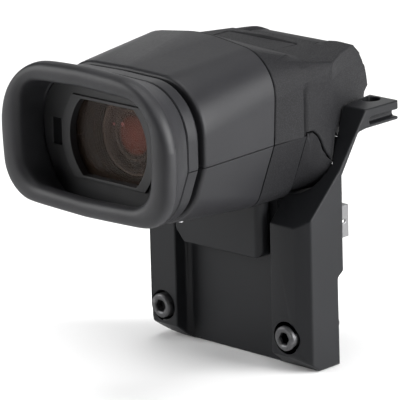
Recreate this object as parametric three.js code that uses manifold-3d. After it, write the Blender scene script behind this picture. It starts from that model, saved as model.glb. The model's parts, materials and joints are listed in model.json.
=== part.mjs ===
// Electronic viewfinder that bolts to the back of a camera.
// Millimetres. X runs to the operator's right, Y forward towards the camera, Z up.
// The origin lies on the mounting face, on the centre plane, at the height of the two screws.
import * as THREE from 'three';
import { mergeVertices } from 'three/addons/utils/BufferGeometryUtils.js';
import Module from 'manifold-3d';

const wasm = await Module();
wasm.setup();

// Shared by every piece
const seatGap = 0.3;
const runningGap = 0.5;
const overrun = 4;
const edgeRadius = 0.8;
const arcSteps = 10;
const socketShare = 0.5;
const filletSteps = 4;
const sectionSteps = 5;
const roundSteps = 32;
const opticSteps = 24;
const hiddenSteps = 16;
const hexSides = 6;

// Mounting plate and its two ribs
const plateHalfWidth = 36.4;
const plateBottom = -11.7;
const plateTop = 47.5;
const ribFace = -16.4;
const webFace = -9.9;
const webMiddle = -2;
const webHalfWidth = 22.3;
const webFillet = 2.5;
const armFillet = 0.6;
const ribChamferRise = 5.1;
const facetWidth = 5.2;
const facetDepth = 3.1;
const lowCornerRadius = 7;
const highCornerCut = 9;
const padDepth = 2.7;
const padBottom = 20.8;
const padStep = 1.8;

// Arm and tab on the right
const armBendHeight = 39;
const armInnerX = 20.6;
const elbowFrontY = 1.5;
const elbowFrontZ = 56.2;
const elbowBackZ = 54;
const tabFrontY = 15;
const tabTop = 74.2;
const tabThickness = 6.6;
const tabEnd = 31.6;
const tabRootY = 11.3;
const tabHoleX = 27.6;
const tabHoleY = 27.3;
const tabHoleRadius = 3.2;
const tabSlotStart = 17;
const tabSlotFloor = 68.8;
const tabSlotHeight = 2.3;
const tabSlotDepth = 2.6;

// Mounting screws, M5 with a socket head
const screwPitch = 58;
const screwMiddle = -1.8;
const screwRadius = 2.5;
const screwHeadRadius = 4.3;
const screwHeadHeight = 5;
const screwProud = 1.6;
const screwPocketRadius = 5.1;
const screwTail = 8;
const screwSocketAcross = 4;
const screwHeadBevel = 0.5;
const screwHoleClearance = 0.4;
const screwPlaces = [screwMiddle - screwPitch / 2, screwMiddle + screwPitch / 2];
const screwHeadFace = ribFace - screwProud;
const pocketFloor = screwHeadFace + screwHeadHeight + seatGap;
const clipRadius = 4.2;
const clipThickness = 0.8;

// Neck block
const neckHalfWidth = 18;
const neckBottom = 25.1;
const neckCorner = 3;
const neckGusset = 4.2;
const neckScrewPitch = 16;
const neckScrewPlaces = [webMiddle - neckScrewPitch / 2, webMiddle + neckScrewPitch / 2];
const neckScrewZ = 38.5;
const neckScrewRadius = 1.5;
const neckScrewHead = 2.8;
const neckScrewHeadHeight = 1.7;
const neckScrewTip = -14;
const neckScrewAcross = 2;

// Hinge: the axis about which the head tilts
const hingeY = 15;
const hingeZ = 72;
const drumRadius = 22.4;
const earRadius = 22.9;
const drumHalfWidth = 15.2;
const earInnerX = 16.6;
const shaftRadius = 3;
const pinInnerX = 2;
const pinOuterX = 21;
const sleeveWall = 3;
const sleeveInnerX = 3;
const sleeveOuterX = 14.9;
const bossRadius = 8.6;
const bossTopDegrees = 216;
const drumFootDegrees = 325;
const drumFootRise = 3;
const washerRadius = 8;
const washerThickness = 0.8;
const tiltDegrees = 60;
const tiltSteps = 6;

// Cradle under the head, fixed to the neck
const cradleHalfWidth = 31.5;
const cradleBottom = 47.8;
const cradleCorner = 9.8;
const cradleFront = -9.2;
const seamStartZ = 70.2;
const seamRadius = 18.3;
const seamTopDegrees = 200;
const seamTipDegrees = 234;
const seamBendShares = [[0.45, 0.93], [0.75, 0.55]];
const footHalf = 13;
const footBottom = 30.3;
const footBack = 2.4;

// Section of the head
const headHalfWidth = 33.5;
const headTop = 103.7;
const shoulderDrop = 4.3;
const headBottom = 45.2;
const footHalfWidth = 23;
const partingZ = 69.6;
const beltHalfWidth = 31.9;
const crownRadius = 60;
const shoulderRadius = 15.3;
const beltRadius = 3;
const footRadius = 8.5;
const keelRadius = 60;
const keelDrop = 0.6;
const casingWall = 1.9;

// Section of the casing's front end, lower and rounder than the rest
const frontHalfWidth = 32;
const frontTop = 101.2;
const frontDrop = 6.8;
const frontRadius = 17.5;
const frontBeltHalfWidth = 31.4;
const frontRise = 1.5;
const frontRoundLength = 6.4;
const frontRoundShares = [0, 0.3, 0.55, 0.75, 0.9, 1];
const innerRoundShares = [0, 0.7, 1];

// Lengths along the head, from the eyepiece to the hinge
const rimFront = -83;
const seamY = -66.2;
const collarBack = -61.7;
const casingFront = -58.4;
const casingBack = -25.5;
const ringBack = -9.6;
const collarInset = 0.5;
const grooveInset = 2.3;
const spigotInset = 1.8;
const partingGap = 0.3;
const spigotLength = 0.9;
const frontWall = 1.3;
const collarLean = 3.7;
const leanTopZ = 95;
const leanLowZ = 78;

// Rear housing
const plateauZ = 96.4;
const plateauFrontY = -8;
const plateauBackY = 8;
const earFaceX = 31.8;
const earTipX = 31.4;
const earTipY = 2.9;
const earTabX = 25.6;
const earTabY = 15.3;
const earEndX = 18.4;
const earEndY = 34.5;
const earTailSlope = (earTabX - earEndX) / (earEndY - earTabY);
const earStepZ = 86.3;
const earStepEndY = 0;
const earShoulderProud = 1;
const earShoulderDrop = 1.2;
const earShoulderRadius = 7;
const earNotchX = 19.1;
const earNotchFront = 8.6;
const earNotchLength = 2;
const earNotchDepth = 9;
const earTopDegrees = 100;
const plateauCornerX = 16.8;
const shoulderFacetDegrees = 22.2;
const shoulderFacetShare = 0.34;
const lipZ = 75.4;
const lipDepth = 3;
const earFootZ = 69.6;
const lipDegrees = Math.asin((lipZ - hingeZ) / earRadius) * (180 / Math.PI);
const housingWall = 2.2;
const roofThickness = 3;
const keelRise = 1.4;

// Top panel
const panelHalfWidth = 15.5;
const panelFrontY = -6.6;
const panelBackY = 3.9;
const panelThickness = 1.2;
const panelSink = 0.5;

// Eyecup
const rimHalfWidth = 37.9;
const rimTop = 100.4;
const rimBottom = 55;
const rimInnerHalfWidth = 29.1;
const rimInnerTop = 94.2;
const rimInnerBottom = 60.2;
const rimCrown = 1.2;
const rimRadius = 25;
const rimLowRadius = 15.5;
const rimInnerRadius = 9;
const rimInnerLowRadius = 14;
const lipRound = 1.6;
const mouthRound = 1.2;
const lipShares = [0.3, 0.45, 1.4];
const cupFloorShare = 0.6;
const cupFlankShares = [[0.15, 0], [0.4, 0.04], [0.6, 0.3], [0.72, 0.62], [0.8, 0.88]];

// Optics
const axisZ = 74.6;
const bezelFront = -69.6;
const bezelThickness = 2.2;
const windowRadius = 17.8;
const windowHalfHeight = 13;
const windowFrame = 3.7;
const windowFrameProud = 0.8;
const glassThickness = 1.2;
const glassOverlap = 1.4;
const sensorX = -24.6;
const sensorHalfWidth = 2.2;
const sensorHalfHeight = 4.5;
const guideRadius = 20.6;
const guideWall = 1;
const guideFront = casingFront + casingWall + seatGap;
const guideBack = -31;
const flangeThickness = 2;
const cellRadius = 19.1;
const cellWall = 1.3;
const cellFront = -62.8;
const cellBack = -36;
const ringDepth = 1.4;
const ringWidth = 1.2;
const lensRings = 4;
const firstLensRadius = 17.4;
const firstLensRecess = 1.7;
const firstLensThickness = 3;
const secondLensRadius = 16;
const secondLensGap = 11.5;
const secondLensThickness = 3.6;
const thirdLensRadius = 13;
const thirdLensGap = 2.4;
const thirdLensThickness = 2.2;
const firstLensFront = cellFront + firstLensRecess;
const secondLensFront = firstLensFront + firstLensThickness + secondLensGap;
const thirdLensFront = secondLensFront + secondLensThickness + thirdLensGap;
const lensBulgeShares = [[0.115, 0.069], [0.1, -0.056], [-0.046, 0.062]];
const lensSizes = [
  [firstLensRadius, firstLensFront, firstLensThickness],
  [secondLensRadius, secondLensFront, secondLensThickness],
  [thirdLensRadius, thirdLensFront, thirdLensThickness],
].map(([radius, front, thickness], i) => ({
  radius,
  front,
  back: front + thickness,
  frontBulge: radius * lensBulgeShares[i][0],
  backBulge: radius * lensBulgeShares[i][1],
}));
const cellThroat = 16.6;
const cellRearBore = 10.6;

// Display behind the lenses
const displayHalfWidth = 8;
const displayHalfHeight = 6.4;
const displayThickness = 1.5;
const holderHalfSize = 13;
const holderThickness = 2.4;
const boardThickness = 1.2;
const boardHalfWidth = 15;
const boardHalfHeight = 12;
const displayBoardFront = guideBack + holderThickness + seatGap * 2;
const displayScrewX = 11;
const displayScrewRise = 9.8;
const displayScrewRadius = 0.8;
const displayScrewHead = 1.5;
const screwHeadShare = 0.6;
const bevelShare = 0.3;

// Main board under the lenses
const mainBoardZ = 49.4;
const mainBoardHalfWidth = 17;
const mainBoardFront = -55;
const mainBoardBack = -34;
const postRadius = 2;
const postInset = 3;
const boardScrewRadius = 0.9;
const boardScrewHead = 1.7;
const boardScrewLength = 3;

// Dioptre dial on the left side of the casing
const dialY = -48.5;
const dialZ = 82;
const dialRadius = 7;
const dialProud = 2.6;
const dialSink = 1.4;
const dialRibs = 24;
const dialRibDepth = 0.5;
const dialShaftRadius = 2;
const dialPinRadius = 0.9;
const dialPinOffset = 2.3;
const dialPinLength = 5;
const dialWeb = 1.6;
const dialWebRim = 0.4;
const pinPlay = 0.35;
const dialSeatX = -beltHalfWidth + dialSink / 2;
const dialPinStartX = -guideRadius - seatGap;

// Plug at the back of the plate
const plugX = 28;
const plugZ = 36.1;
const plugHalfWidth = 4;
const plugHalfHeight = 5.6;
const plugReach = 7.6;
const plugWall = 0.8;
const plugPocket = 6;
const plugGroove = 0.5;
const plugGrooveShares = [0.35, 0.8];
const plugInsertShare = 0.3;
const plugBlade = 1;
const plugBlades = 3;

// Turns a closed three.js geometry into a solid with its faces outwards.
function solidOf(geometry) {
  const bare = geometry.clone();
  bare.deleteAttribute('normal');
  bare.deleteAttribute('uv');
  const merged = mergeVertices(bare, 1e-4);
  const vertProperties = new Float32Array(merged.attributes.position.array);
  const corners = merged.index.array;
  const kept = [];
  for (let i = 0; i < corners.length; i += 3) {
    const [a, b, c] = corners.slice(i, i + 3);
    if (a !== b && b !== c && c !== a) kept.push(a, b, c);
  }
  const triVerts = new Uint32Array(kept);
  if (signedVolume(vertProperties, triVerts) < 0) {
    for (let i = 0; i < triVerts.length; i += 3) {
      [triVerts[i + 1], triVerts[i + 2]] = [triVerts[i + 2], triVerts[i + 1]];
    }
  }
  return new wasm.Manifold(new wasm.Mesh({ numProp: 3, vertProperties, triVerts }));
}

function signedVolume(places, triangles) {
  const corner = (i) => new THREE.Vector3().fromArray(places, 3 * i);
  let sum = 0;
  for (let i = 0; i < triangles.length; i += 3) {
    const [a, b, c] = [0, 1, 2].map((k) => corner(triangles[i + k]));
    sum += a.dot(b.cross(c)) / 6;
  }
  return sum;
}

function meshOf(name, solid, look) {
  const { vertProperties, triVerts } = solid.getMesh();
  const geometry = new THREE.BufferGeometry();
  geometry.setAttribute('position', new THREE.BufferAttribute(vertProperties, 3));
  geometry.setIndex(new THREE.BufferAttribute(triVerts, 1));
  geometry.computeVertexNormals();
  const mesh = new THREE.Mesh(geometry, new THREE.MeshStandardMaterial(look));
  mesh.name = name;
  return mesh;
}

const union = (first, ...others) => others.reduce((sum, next) => sum.add(next), first);
const cut = (first, ...others) => others.reduce((rest, next) => rest.subtract(next), first);

// Extrudes an outline of [u, v] points; the maps below lay u, v and the depth on the three axes.
function prism(points, from, to, basis) {
  const shape = new THREE.Shape(points.map(([u, v]) => new THREE.Vector2(u, v)));
  const geometry = new THREE.ExtrudeGeometry(shape, { depth: to - from, bevelEnabled: false });
  geometry.translate(0, 0, from);
  geometry.applyMatrix4(new THREE.Matrix4().makeBasis(...basis));
  return solidOf(geometry);
}

const axisX = new THREE.Vector3(1, 0, 0);
const axisY = new THREE.Vector3(0, 1, 0);
const axisZDirection = new THREE.Vector3(0, 0, 1);
const alongX = (yz, from, to) => prism(yz, from, to, [axisY, axisZDirection, axisX]);
const alongY = (xz, from, to) => prism(xz, from, to, [axisX, axisZDirection, axisY]);
const alongZ = (xy, from, to) => prism(xy, from, to, [axisX, axisY, axisZDirection]);

function box(x0, x1, y0, y1, z0, z1) {
  const geometry = new THREE.BoxGeometry(x1 - x0, y1 - y0, z1 - z0);
  geometry.translate((x0 + x1) / 2, (y0 + y1) / 2, (z0 + z1) / 2);
  return solidOf(geometry);
}

// A round piece turned from [radius, distance] points, its axis laid along X or Y.
function turned(profile, steps, turnToAxis, x, y, z) {
  const geometry = new THREE.LatheGeometry(profile.map(([r, h]) => new THREE.Vector2(r, h)), steps);
  if (turnToAxis === 'x') geometry.rotateZ(-Math.PI / 2);
  geometry.translate(x, y, z);
  return solidOf(geometry);
}

const rodY = (radius, y0, y1, x, z, steps = roundSteps) =>
  turned([[0, y0], [radius, y0], [radius, y1], [0, y1]], steps, 'y', x, 0, z);
const rodX = (radius, x0, x1, y, z, steps = roundSteps) =>
  turned([[0, x0], [radius, x0], [radius, x1], [0, x1]], steps, 'x', 0, y, z);
const rodZ = (radius, z0, z1, x, y, steps = roundSteps) => {
  const geometry = new THREE.CylinderGeometry(radius, radius, z1 - z0, steps);
  geometry.rotateX(Math.PI / 2);
  geometry.translate(x, y, (z0 + z1) / 2);
  return solidOf(geometry);
};

// Rounds each corner [u, v, radius] of a polygon into an arc of the given number of steps.
function rounded(corners, steps) {
  const points = [];
  corners.forEach(([u, v, radius], i) => {
    const here = new THREE.Vector2(u, v);
    const before = new THREE.Vector2(...corners.at(i - 1).slice(0, 2));
    const after = new THREE.Vector2(...corners[(i + 1) % corners.length].slice(0, 2));
    const back = before.clone().sub(here).normalize();
    const ahead = after.clone().sub(here).normalize();
    const half = Math.acos(THREE.MathUtils.clamp(back.dot(ahead), -1, 1)) / 2;
    const bisector = back.clone().add(ahead).normalize();
    const centre = here.clone().addScaledVector(bisector, radius / Math.sin(half));
    const start = here.clone().addScaledVector(back, radius / Math.tan(half)).sub(centre);
    const end = here.clone().addScaledVector(ahead, radius / Math.tan(half)).sub(centre);
    const turn = Math.atan2(start.cross(end), start.dot(end));
    const origin = new THREE.Vector2();
    for (let k = 0; k <= steps; k += 1) {
      points.push(start.clone().rotateAround(origin, (turn * k) / steps).add(centre).toArray());
    }
  });
  return points;
}

// Moves every side of a convex polygon of [u, v, radius] corners inwards, and its radii with it.
function inset(corners, distance) {
  const count = corners.length;
  const middle = corners.reduce((sum, [u, v]) => [sum[0] + u / count, sum[1] + v / count], [0, 0]);
  const lineAt = (i) => {
    const [u0, v0] = corners[i];
    const [u1, v1] = corners[(i + 1) % count];
    const along = new THREE.Vector2(u1 - u0, v1 - v0).normalize();
    const inward = new THREE.Vector2(-along.y, along.x);
    if (inward.dot(new THREE.Vector2(middle[0] - u0, middle[1] - v0)) < 0) inward.negate();
    return { through: new THREE.Vector2(u0, v0).addScaledVector(inward, distance), along };
  };
  return corners.map(([, , radius], i) => {
    const first = lineAt((i + count - 1) % count);
    const second = lineAt(i);
    const apart = second.through.clone().sub(first.through);
    const reach = apart.cross(second.along) / first.along.cross(second.along);
    const corner = first.through.clone().addScaledVector(first.along, reach);
    return [corner.x, corner.y, Math.max(radius - distance, casingWall / 2)];
  });
}

// Mirrors the right half of an outline, given from the top middle down to the bottom middle.
function symmetric(half) {
  const left = half.slice(1, -1).reverse().map(([u, v, radius]) => [-u, v, radius]);
  return [...half, ...left];
}

const headSection = symmetric([
  [0, headTop, crownRadius],
  [headHalfWidth, headTop - shoulderDrop, shoulderRadius],
  [beltHalfWidth, partingZ, beltRadius],
  [footHalfWidth, headBottom + keelDrop, footRadius],
  [0, headBottom, keelRadius],
]);

const frontSection = symmetric([
  [0, frontTop, crownRadius],
  [frontHalfWidth, frontTop - frontDrop, frontRadius],
  [frontBeltHalfWidth, partingZ, beltRadius],
  [footHalfWidth, headBottom + keelDrop + frontRise, footRadius],
  [0, headBottom + frontRise, keelRadius],
]);

const headOutline = (distance) => rounded(inset(headSection, distance), sectionSteps);
const frontOutline = (distance) => rounded(inset(frontSection, distance), sectionSteps);

const blend = (first, second, share) =>
  first.map(([x, z], i) => [x + (second[i][0] - x) * share, z + (second[i][1] - z) * share]);

// The seam between collar and eyecup leans back towards the sides.
const seamLean = (z) => seamY + collarLean * THREE.MathUtils.smoothstep(z, leanLowZ, leanTopZ);

// Joins a list of outlines [points, y] into a tube wall that closes on itself; y may depend on z.
function tubeWall(rings) {
  const size = rings[0][0].length;
  const depthAt = (y, z) => (typeof y === 'function' ? y(z) : y);
  const places = rings.flatMap(([points, y]) => points.flatMap(([x, z]) => [x, depthAt(y, z), z]));
  const triangles = [];
  rings.forEach((_, i) => {
    const next = (i + 1) % rings.length;
    for (let k = 0; k < size; k += 1) {
      const [a, b] = [i * size + k, i * size + ((k + 1) % size)];
      const [c, d] = [next * size + k, next * size + ((k + 1) % size)];
      triangles.push(a, b, c, b, d, c);
    }
  });
  const geometry = new THREE.BufferGeometry();
  geometry.setAttribute('position', new THREE.Float32BufferAttribute(places, 3));
  geometry.setIndex(triangles);
  return solidOf(geometry);
}

const arc = (y, z, radius, fromDegrees, toDegrees, steps) => {
  const points = [];
  for (let k = 0; k <= steps; k += 1) {
    const angle = THREE.MathUtils.degToRad(fromDegrees + ((toDegrees - fromDegrees) * k) / steps);
    points.push([y + radius * Math.cos(angle), z + radius * Math.sin(angle)]);
  }
  return points;
};

// Joins a list of convex outlines [points, y] into a solid with flat ends.
function loft(rings) {
  const size = rings[0][0].length;
  const places = rings.flatMap(([points, y]) => points.flatMap(([x, z]) => [x, y, z]));
  const triangles = [];
  for (let i = 0; i + 1 < rings.length; i += 1) {
    for (let k = 0; k < size; k += 1) {
      const [a, b] = [i * size + k, i * size + ((k + 1) % size)];
      triangles.push(a, b, a + size, b, b + size, a + size);
    }
  }
  const last = (rings.length - 1) * size;
  for (let k = 1; k + 1 < size; k += 1) {
    triangles.push(0, k + 1, k, last, last + k, last + k + 1);
  }
  const geometry = new THREE.BufferGeometry();
  geometry.setAttribute('position', new THREE.Float32BufferAttribute(places, 3));
  geometry.setIndex(triangles);
  return solidOf(geometry);
}

// The cradle's section: upright sides and round lower corners, open to any size.
const cradleSection = (grow, top) => symmetric([
  [0, top, crownRadius],
  [cradleHalfWidth + grow, top - seatGap, beltRadius],
  [cradleHalfWidth + grow + seatGap, partingZ, beltRadius],
  [cradleHalfWidth + grow, cradleBottom - grow, cradleCorner + grow],
  [0, cradleBottom - grow - seatGap, keelRadius],
]);

// Plan of the ears: full width at the ring, drawn in towards the hinge.
const earPlan = (grow, front, halfWidth) => {
  const right = [
    [halfWidth + grow, front],
    [earTipX + grow, earTipY],
    [earTabX + grow, earTabY],
    [earEndX + grow, earEndY],
    [earEndX - earTailSlope * overrun + grow, earEndY + overrun],
  ];
  const left = right.map(([x, y]) => [-x, y]).reverse();
  return [...right, ...left];
};

const camber = (y, z, radius, from, to) => arc(y, z, radius, from, to, arcSteps);

// The seam between the fixed cradle and the moving ear, from its front end down to its tip.
const seamLine = (gap) => {
  const [y, z] = camber(hingeY, hingeZ, seamRadius - gap, seamTopDegrees, seamTopDegrees + 1)[0];
  const rise = seamStartZ + gap - z;
  return [
    [cradleFront, seamStartZ + gap],
    ...seamBendShares.map(([along, up]) => [cradleFront + (y - cradleFront) * along, z + rise * up]),
    ...camber(hingeY, hingeZ, seamRadius - gap, seamTopDegrees, seamTipDegrees),
  ];
};

function screwHoles(radius, from, to, steps = hiddenSteps) {
  return screwPlaces.map((x) => rodY(radius, from, to, x, 0, steps));
}

function mountBracket() {
  const outline = rounded([
    [-plateHalfWidth, plateBottom, lowCornerRadius],
    [plateHalfWidth, plateBottom, edgeRadius],
    [plateHalfWidth, plateTop, edgeRadius],
    [-plateHalfWidth + highCornerCut, plateTop, edgeRadius],
    [-plateHalfWidth, plateTop - highCornerCut, edgeRadius],
  ], filletSteps);
  const plate = alongY(outline, ribFace, 0);
  const pad = alongX([
    [-overrun, padBottom - padStep],
    [0, padBottom - padStep],
    [padDepth, padBottom],
    [padDepth, plateTop + overrun],
    [-overrun, plateTop + overrun],
  ], -plateHalfWidth, plateHalfWidth).intersect(alongY(outline, -overrun, padDepth + overrun));
  const arm = alongX([
    [ribFace, 0],
    [ribFace, armBendHeight],
    [elbowFrontY, elbowFrontZ],
    [tabFrontY, tabTop],
    [tabEnd, tabTop],
    [tabEnd, tabTop - tabThickness],
    [tabFrontY, tabTop - tabThickness],
    [tabRootY, tabTop - tabThickness - armFillet],
    [padDepth, elbowBackZ],
    [padDepth, padBottom],
    [0, padBottom],
    [0, 0],
  ], armInnerX, plateHalfWidth);
  const web = rounded([
    [webMiddle - webHalfWidth, ribFace - overrun, edgeRadius],
    [webMiddle + webHalfWidth, ribFace - overrun, edgeRadius],
    [webMiddle + webHalfWidth, webFace, webFillet],
    [webMiddle - webHalfWidth, webFace, webFillet],
  ], filletSteps);
  const recess = alongZ(web, plateBottom - overrun, tabTop);
  const ribChamfer = alongX([
    [ribFace - overrun, plateBottom + ribChamferRise],
    [ribFace, plateBottom + ribChamferRise],
    [webFace, plateBottom],
    [webFace, plateBottom - overrun],
    [ribFace - overrun, plateBottom - overrun],
  ], -plateHalfWidth - overrun, plateHalfWidth + overrun);
  const facet = alongZ([
    [plateHalfWidth - facetWidth, ribFace],
    [plateHalfWidth, ribFace + facetDepth],
    [plateHalfWidth + overrun, ribFace + facetDepth],
    [plateHalfWidth + overrun, ribFace - overrun],
    [plateHalfWidth - facetWidth, ribFace - overrun],
  ], plateBottom - overrun, tabTop);
  const headRoom = alongY(rounded(cradleSection(seatGap, headTop), filletSteps), ribFace - overrun, earEndY + overrun)
    .intersect(alongZ(earPlan(runningGap, ribFace - overrun, earFaceX), footBottom, headTop + overrun));
  const footNotch = box(
    webMiddle - footHalf - seatGap, webMiddle + footHalf + seatGap,
    webFace - overrun, padDepth + overrun, footBottom - seatGap, tabTop,
  );
  const tabHole = rodZ(tabHoleRadius, tabTop - tabThickness - overrun, tabTop + overrun, tabHoleX, tabHoleY);
  const tabSlot = box(
    plateHalfWidth - tabSlotDepth, plateHalfWidth + overrun,
    tabSlotStart, tabEnd + overrun, tabSlotFloor, tabSlotFloor + tabSlotHeight,
  );
  const armSlope = alongX([
    [ribFace - overrun, armBendHeight],
    [ribFace, armBendHeight],
    [elbowFrontY, elbowFrontZ],
    [elbowFrontY, headTop],
    [ribFace - overrun, headTop],
  ], webMiddle + webHalfWidth - overrun, plateHalfWidth + overrun);
  const trough = alongY(headOutline(-runningGap), ribFace - overrun, cradleFront);
  const clipSeats = screwHoles(clipRadius + seatGap, -clipThickness - seatGap * 2, overrun);
  const pockets = screwHoles(screwPocketRadius, ribFace - overrun, pocketFloor, roundSteps);
  const holes = screwHoles(screwRadius + screwHoleClearance, ribFace, overrun);
  const plugOpening = box(
    plugX - plugHalfWidth - seatGap, plugX + plugHalfWidth + seatGap,
    -plugPocket, padDepth + overrun,
    plugZ - plugHalfHeight - seatGap, plugZ + plugHalfHeight + seatGap,
  );
  const earLobe = rodX(earRadius + seatGap, 0, earFaceX, hingeY, hingeZ)
    .intersect(alongZ(earPlan(seatGap, ribFace, earFaceX), footBottom, headTop));
  const earSweep = Array.from({ length: tiltSteps + 1 }, (_, i) => earLobe
    .translate([0, -hingeY, -hingeZ])
    .rotate([(-tiltDegrees * i) / tiltSteps, 0, 0])
    .translate([0, hingeY, hingeZ]));
  const body = union(cut(plate, recess), pad, arm);
  const openings = [tabHole, tabSlot, plugOpening, footNotch, ...clipSeats, ...pockets, ...holes];
  return cut(body, ribChamfer, facet, armSlope, trough, headRoom, ...earSweep, ...openings);
}

function neckBlock() {
  const left = webMiddle - webHalfWidth + seatGap;
  const right = webMiddle + neckHalfWidth;
  const face = rounded([
    [left, neckBottom + neckGusset, edgeRadius],
    [left + neckGusset, neckBottom, edgeRadius],
    [right, neckBottom, neckCorner],
    [right, cradleBottom - seatGap * 2, edgeRadius],
    [left, cradleBottom - seatGap * 2, edgeRadius],
  ], filletSteps);
  const plan = rounded([
    [left, ribFace, edgeRadius],
    [right, ribFace, neckCorner],
    [right, webFace - seatGap, webFillet + seatGap],
    [left, webFace - seatGap, webFillet + seatGap],
  ], filletSteps);
  const block = alongY(face, ribFace - overrun, 0).intersect(alongZ(plan, 0, headTop));
  const trough = alongY(headOutline(-runningGap), ribFace - overrun, overrun);
  const holes = neckScrewPlaces.map((x) =>
    rodY(neckScrewRadius + seatGap, neckScrewTip - seatGap, overrun, x, neckScrewZ, hiddenSteps));
  return cut(block, trough, ...holes);
}

// The fixed casting of the hinge: foot, cradle cheeks and the drum between the ears.
function hingeCradle() {
  const tip = camber(hingeY, hingeZ, seamRadius, seamTopDegrees, seamTipDegrees).at(-1);
  const cheekProfile = [
    [footBack, cradleBottom - overrun],
    [footBack, elbowBackZ],
    tip,
    ...seamLine(0).reverse().slice(1),
    [cradleFront, cradleBottom - overrun],
  ];
  const section = alongY(rounded(cradleSection(0, headTop), sectionSteps), cradleFront, earEndY);
  const cheeks = alongX(cheekProfile, -cradleHalfWidth - overrun, cradleHalfWidth + overrun)
    .intersect(section)
    .intersect(alongZ(earPlan(0, cradleFront, earFaceX), footBottom, headTop));
  const neck = alongX([
    [cradleFront, cradleBottom],
    [footBack, cradleBottom],
    [footBack, elbowBackZ],
    ...camber(hingeY, hingeZ, bossRadius, bossTopDegrees, drumFootDegrees),
    [hingeY + drumRadius - drumFootRise, hingeZ - drumFootRise],
    ...camber(hingeY, hingeZ, drumRadius, 0, 180),
    [cradleFront, seamStartZ],
  ], -drumHalfWidth, drumHalfWidth);
  const footPart = (front, top) => box(
    webMiddle - footHalf, webMiddle + footHalf, front, footBack, footBottom, top,
  );
  const foot = union(
    footPart(webFace, headBottom + seatGap),
    footPart(cradleFront, cradleBottom + overrun),
  );
  const earRoom = [-1, 1].map((side) => {
    const [from, to] = [side * drumHalfWidth, side * (cradleHalfWidth + overrun)].sort((a, b) => a - b);
    return rodX(seamRadius, from, to, hingeY, hingeZ);
  });
  const sleeveBore = rodX(
    shaftRadius + sleeveWall + seatGap, -drumHalfWidth - overrun, drumHalfWidth + overrun,
    hingeY, hingeZ, hiddenSteps,
  );
  const hole = (radius, from, x) => rodY(radius, from, padDepth + overrun, x, neckScrewZ, hiddenSteps);
  const holes = neckScrewPlaces.flatMap((x) => [
    hole(neckScrewRadius + seatGap, webFace - overrun, x),
    hole(neckScrewHead + seatGap, footBack - neckScrewHeadHeight - seatGap, x),
  ]);
  return cut(union(cut(cheeks, ...earRoom), neck, foot), sleeveBore, ...holes);
}

// A screw along Y: its head faces -Y when the facing is -1 and +Y when it is 1.
function capScrew({ x, z, headRadius, headHeight, radius, headFace, tip, across, bevel, steps }) {
  const facing = Math.sign(headFace - tip);
  const under = headFace - facing * headHeight;
  const profile = [
    [0, headFace],
    [headRadius - bevel, headFace],
    [headRadius, headFace - facing * bevel],
    [headRadius, under],
    [radius, under],
    [radius, tip + facing * bevel],
    [radius - bevel, tip],
    [0, tip],
  ];
  const socketFloor = headFace - facing * headHeight * socketShare;
  const socket = rodY(across / Math.sqrt(3), socketFloor, headFace + facing * overrun, x, z, hexSides);
  return turned(profile, steps, 'y', x, 0, z).subtract(socket);
}

function clip(x) {
  return rodY(clipRadius, -seatGap - clipThickness, -seatGap, x, 0, hiddenSteps)
    .subtract(rodY(screwRadius + seatGap, -overrun, overrun, x, 0, hiddenSteps));
}

function plugShell() {
  const outer = (grow, from, to) => box(
    plugX - plugHalfWidth - grow, plugX + plugHalfWidth + grow, from, to,
    plugZ - plugHalfHeight - grow, plugZ + plugHalfHeight + grow,
  );
  const end = padDepth + plugReach;
  const hollow = outer(-plugWall, -plugPocket + seatGap + plugWall, end + overrun);
  const groove = box(
    plugX - plugHalfWidth - overrun, plugX + plugHalfWidth + overrun,
    padDepth + plugReach * plugGrooveShares[0], padDepth + plugReach * plugGrooveShares[1],
    plugZ - plugGroove, plugZ + plugGroove,
  );
  return cut(outer(0, -plugPocket + seatGap, end), hollow, groove);
}

function plugInsert() {
  const core = plugWall + seatGap;
  const body = box(
    plugX - plugHalfWidth + core, plugX + plugHalfWidth - core,
    -plugPocket + seatGap + core, padDepth + plugReach * plugInsertShare,
    plugZ - plugHalfHeight + core, plugZ + plugHalfHeight - core,
  );
  const blade = (z) => box(
    plugX - plugBlade, plugX + plugBlade, 0, padDepth + plugReach - plugWall,
    z - plugBlade / 2, z + plugBlade / 2,
  );
  const pitch = (plugHalfHeight - core) * 2 / (plugBlades + 1);
  const lowest = plugZ - (pitch * (plugBlades - 1)) / 2;
  const blades = Array.from({ length: plugBlades }, (_, i) => blade(lowest + i * pitch));
  return union(body, ...blades);
}

const hingePin = (side) => {
  const [from, to] = [side * pinInnerX, side * pinOuterX].sort((a, b) => a - b);
  return rodX(shaftRadius, from, to, hingeY, hingeZ, hiddenSteps);
};

const hingeTube = (side, inner, outer, bore, radius) => {
  const [from, to] = [side * inner, side * outer].sort((a, b) => a - b);
  return rodX(radius, from, to, hingeY, hingeZ, hiddenSteps)
    .subtract(rodX(bore, from - overrun, to + overrun, hingeY, hingeZ, hiddenSteps));
};

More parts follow.
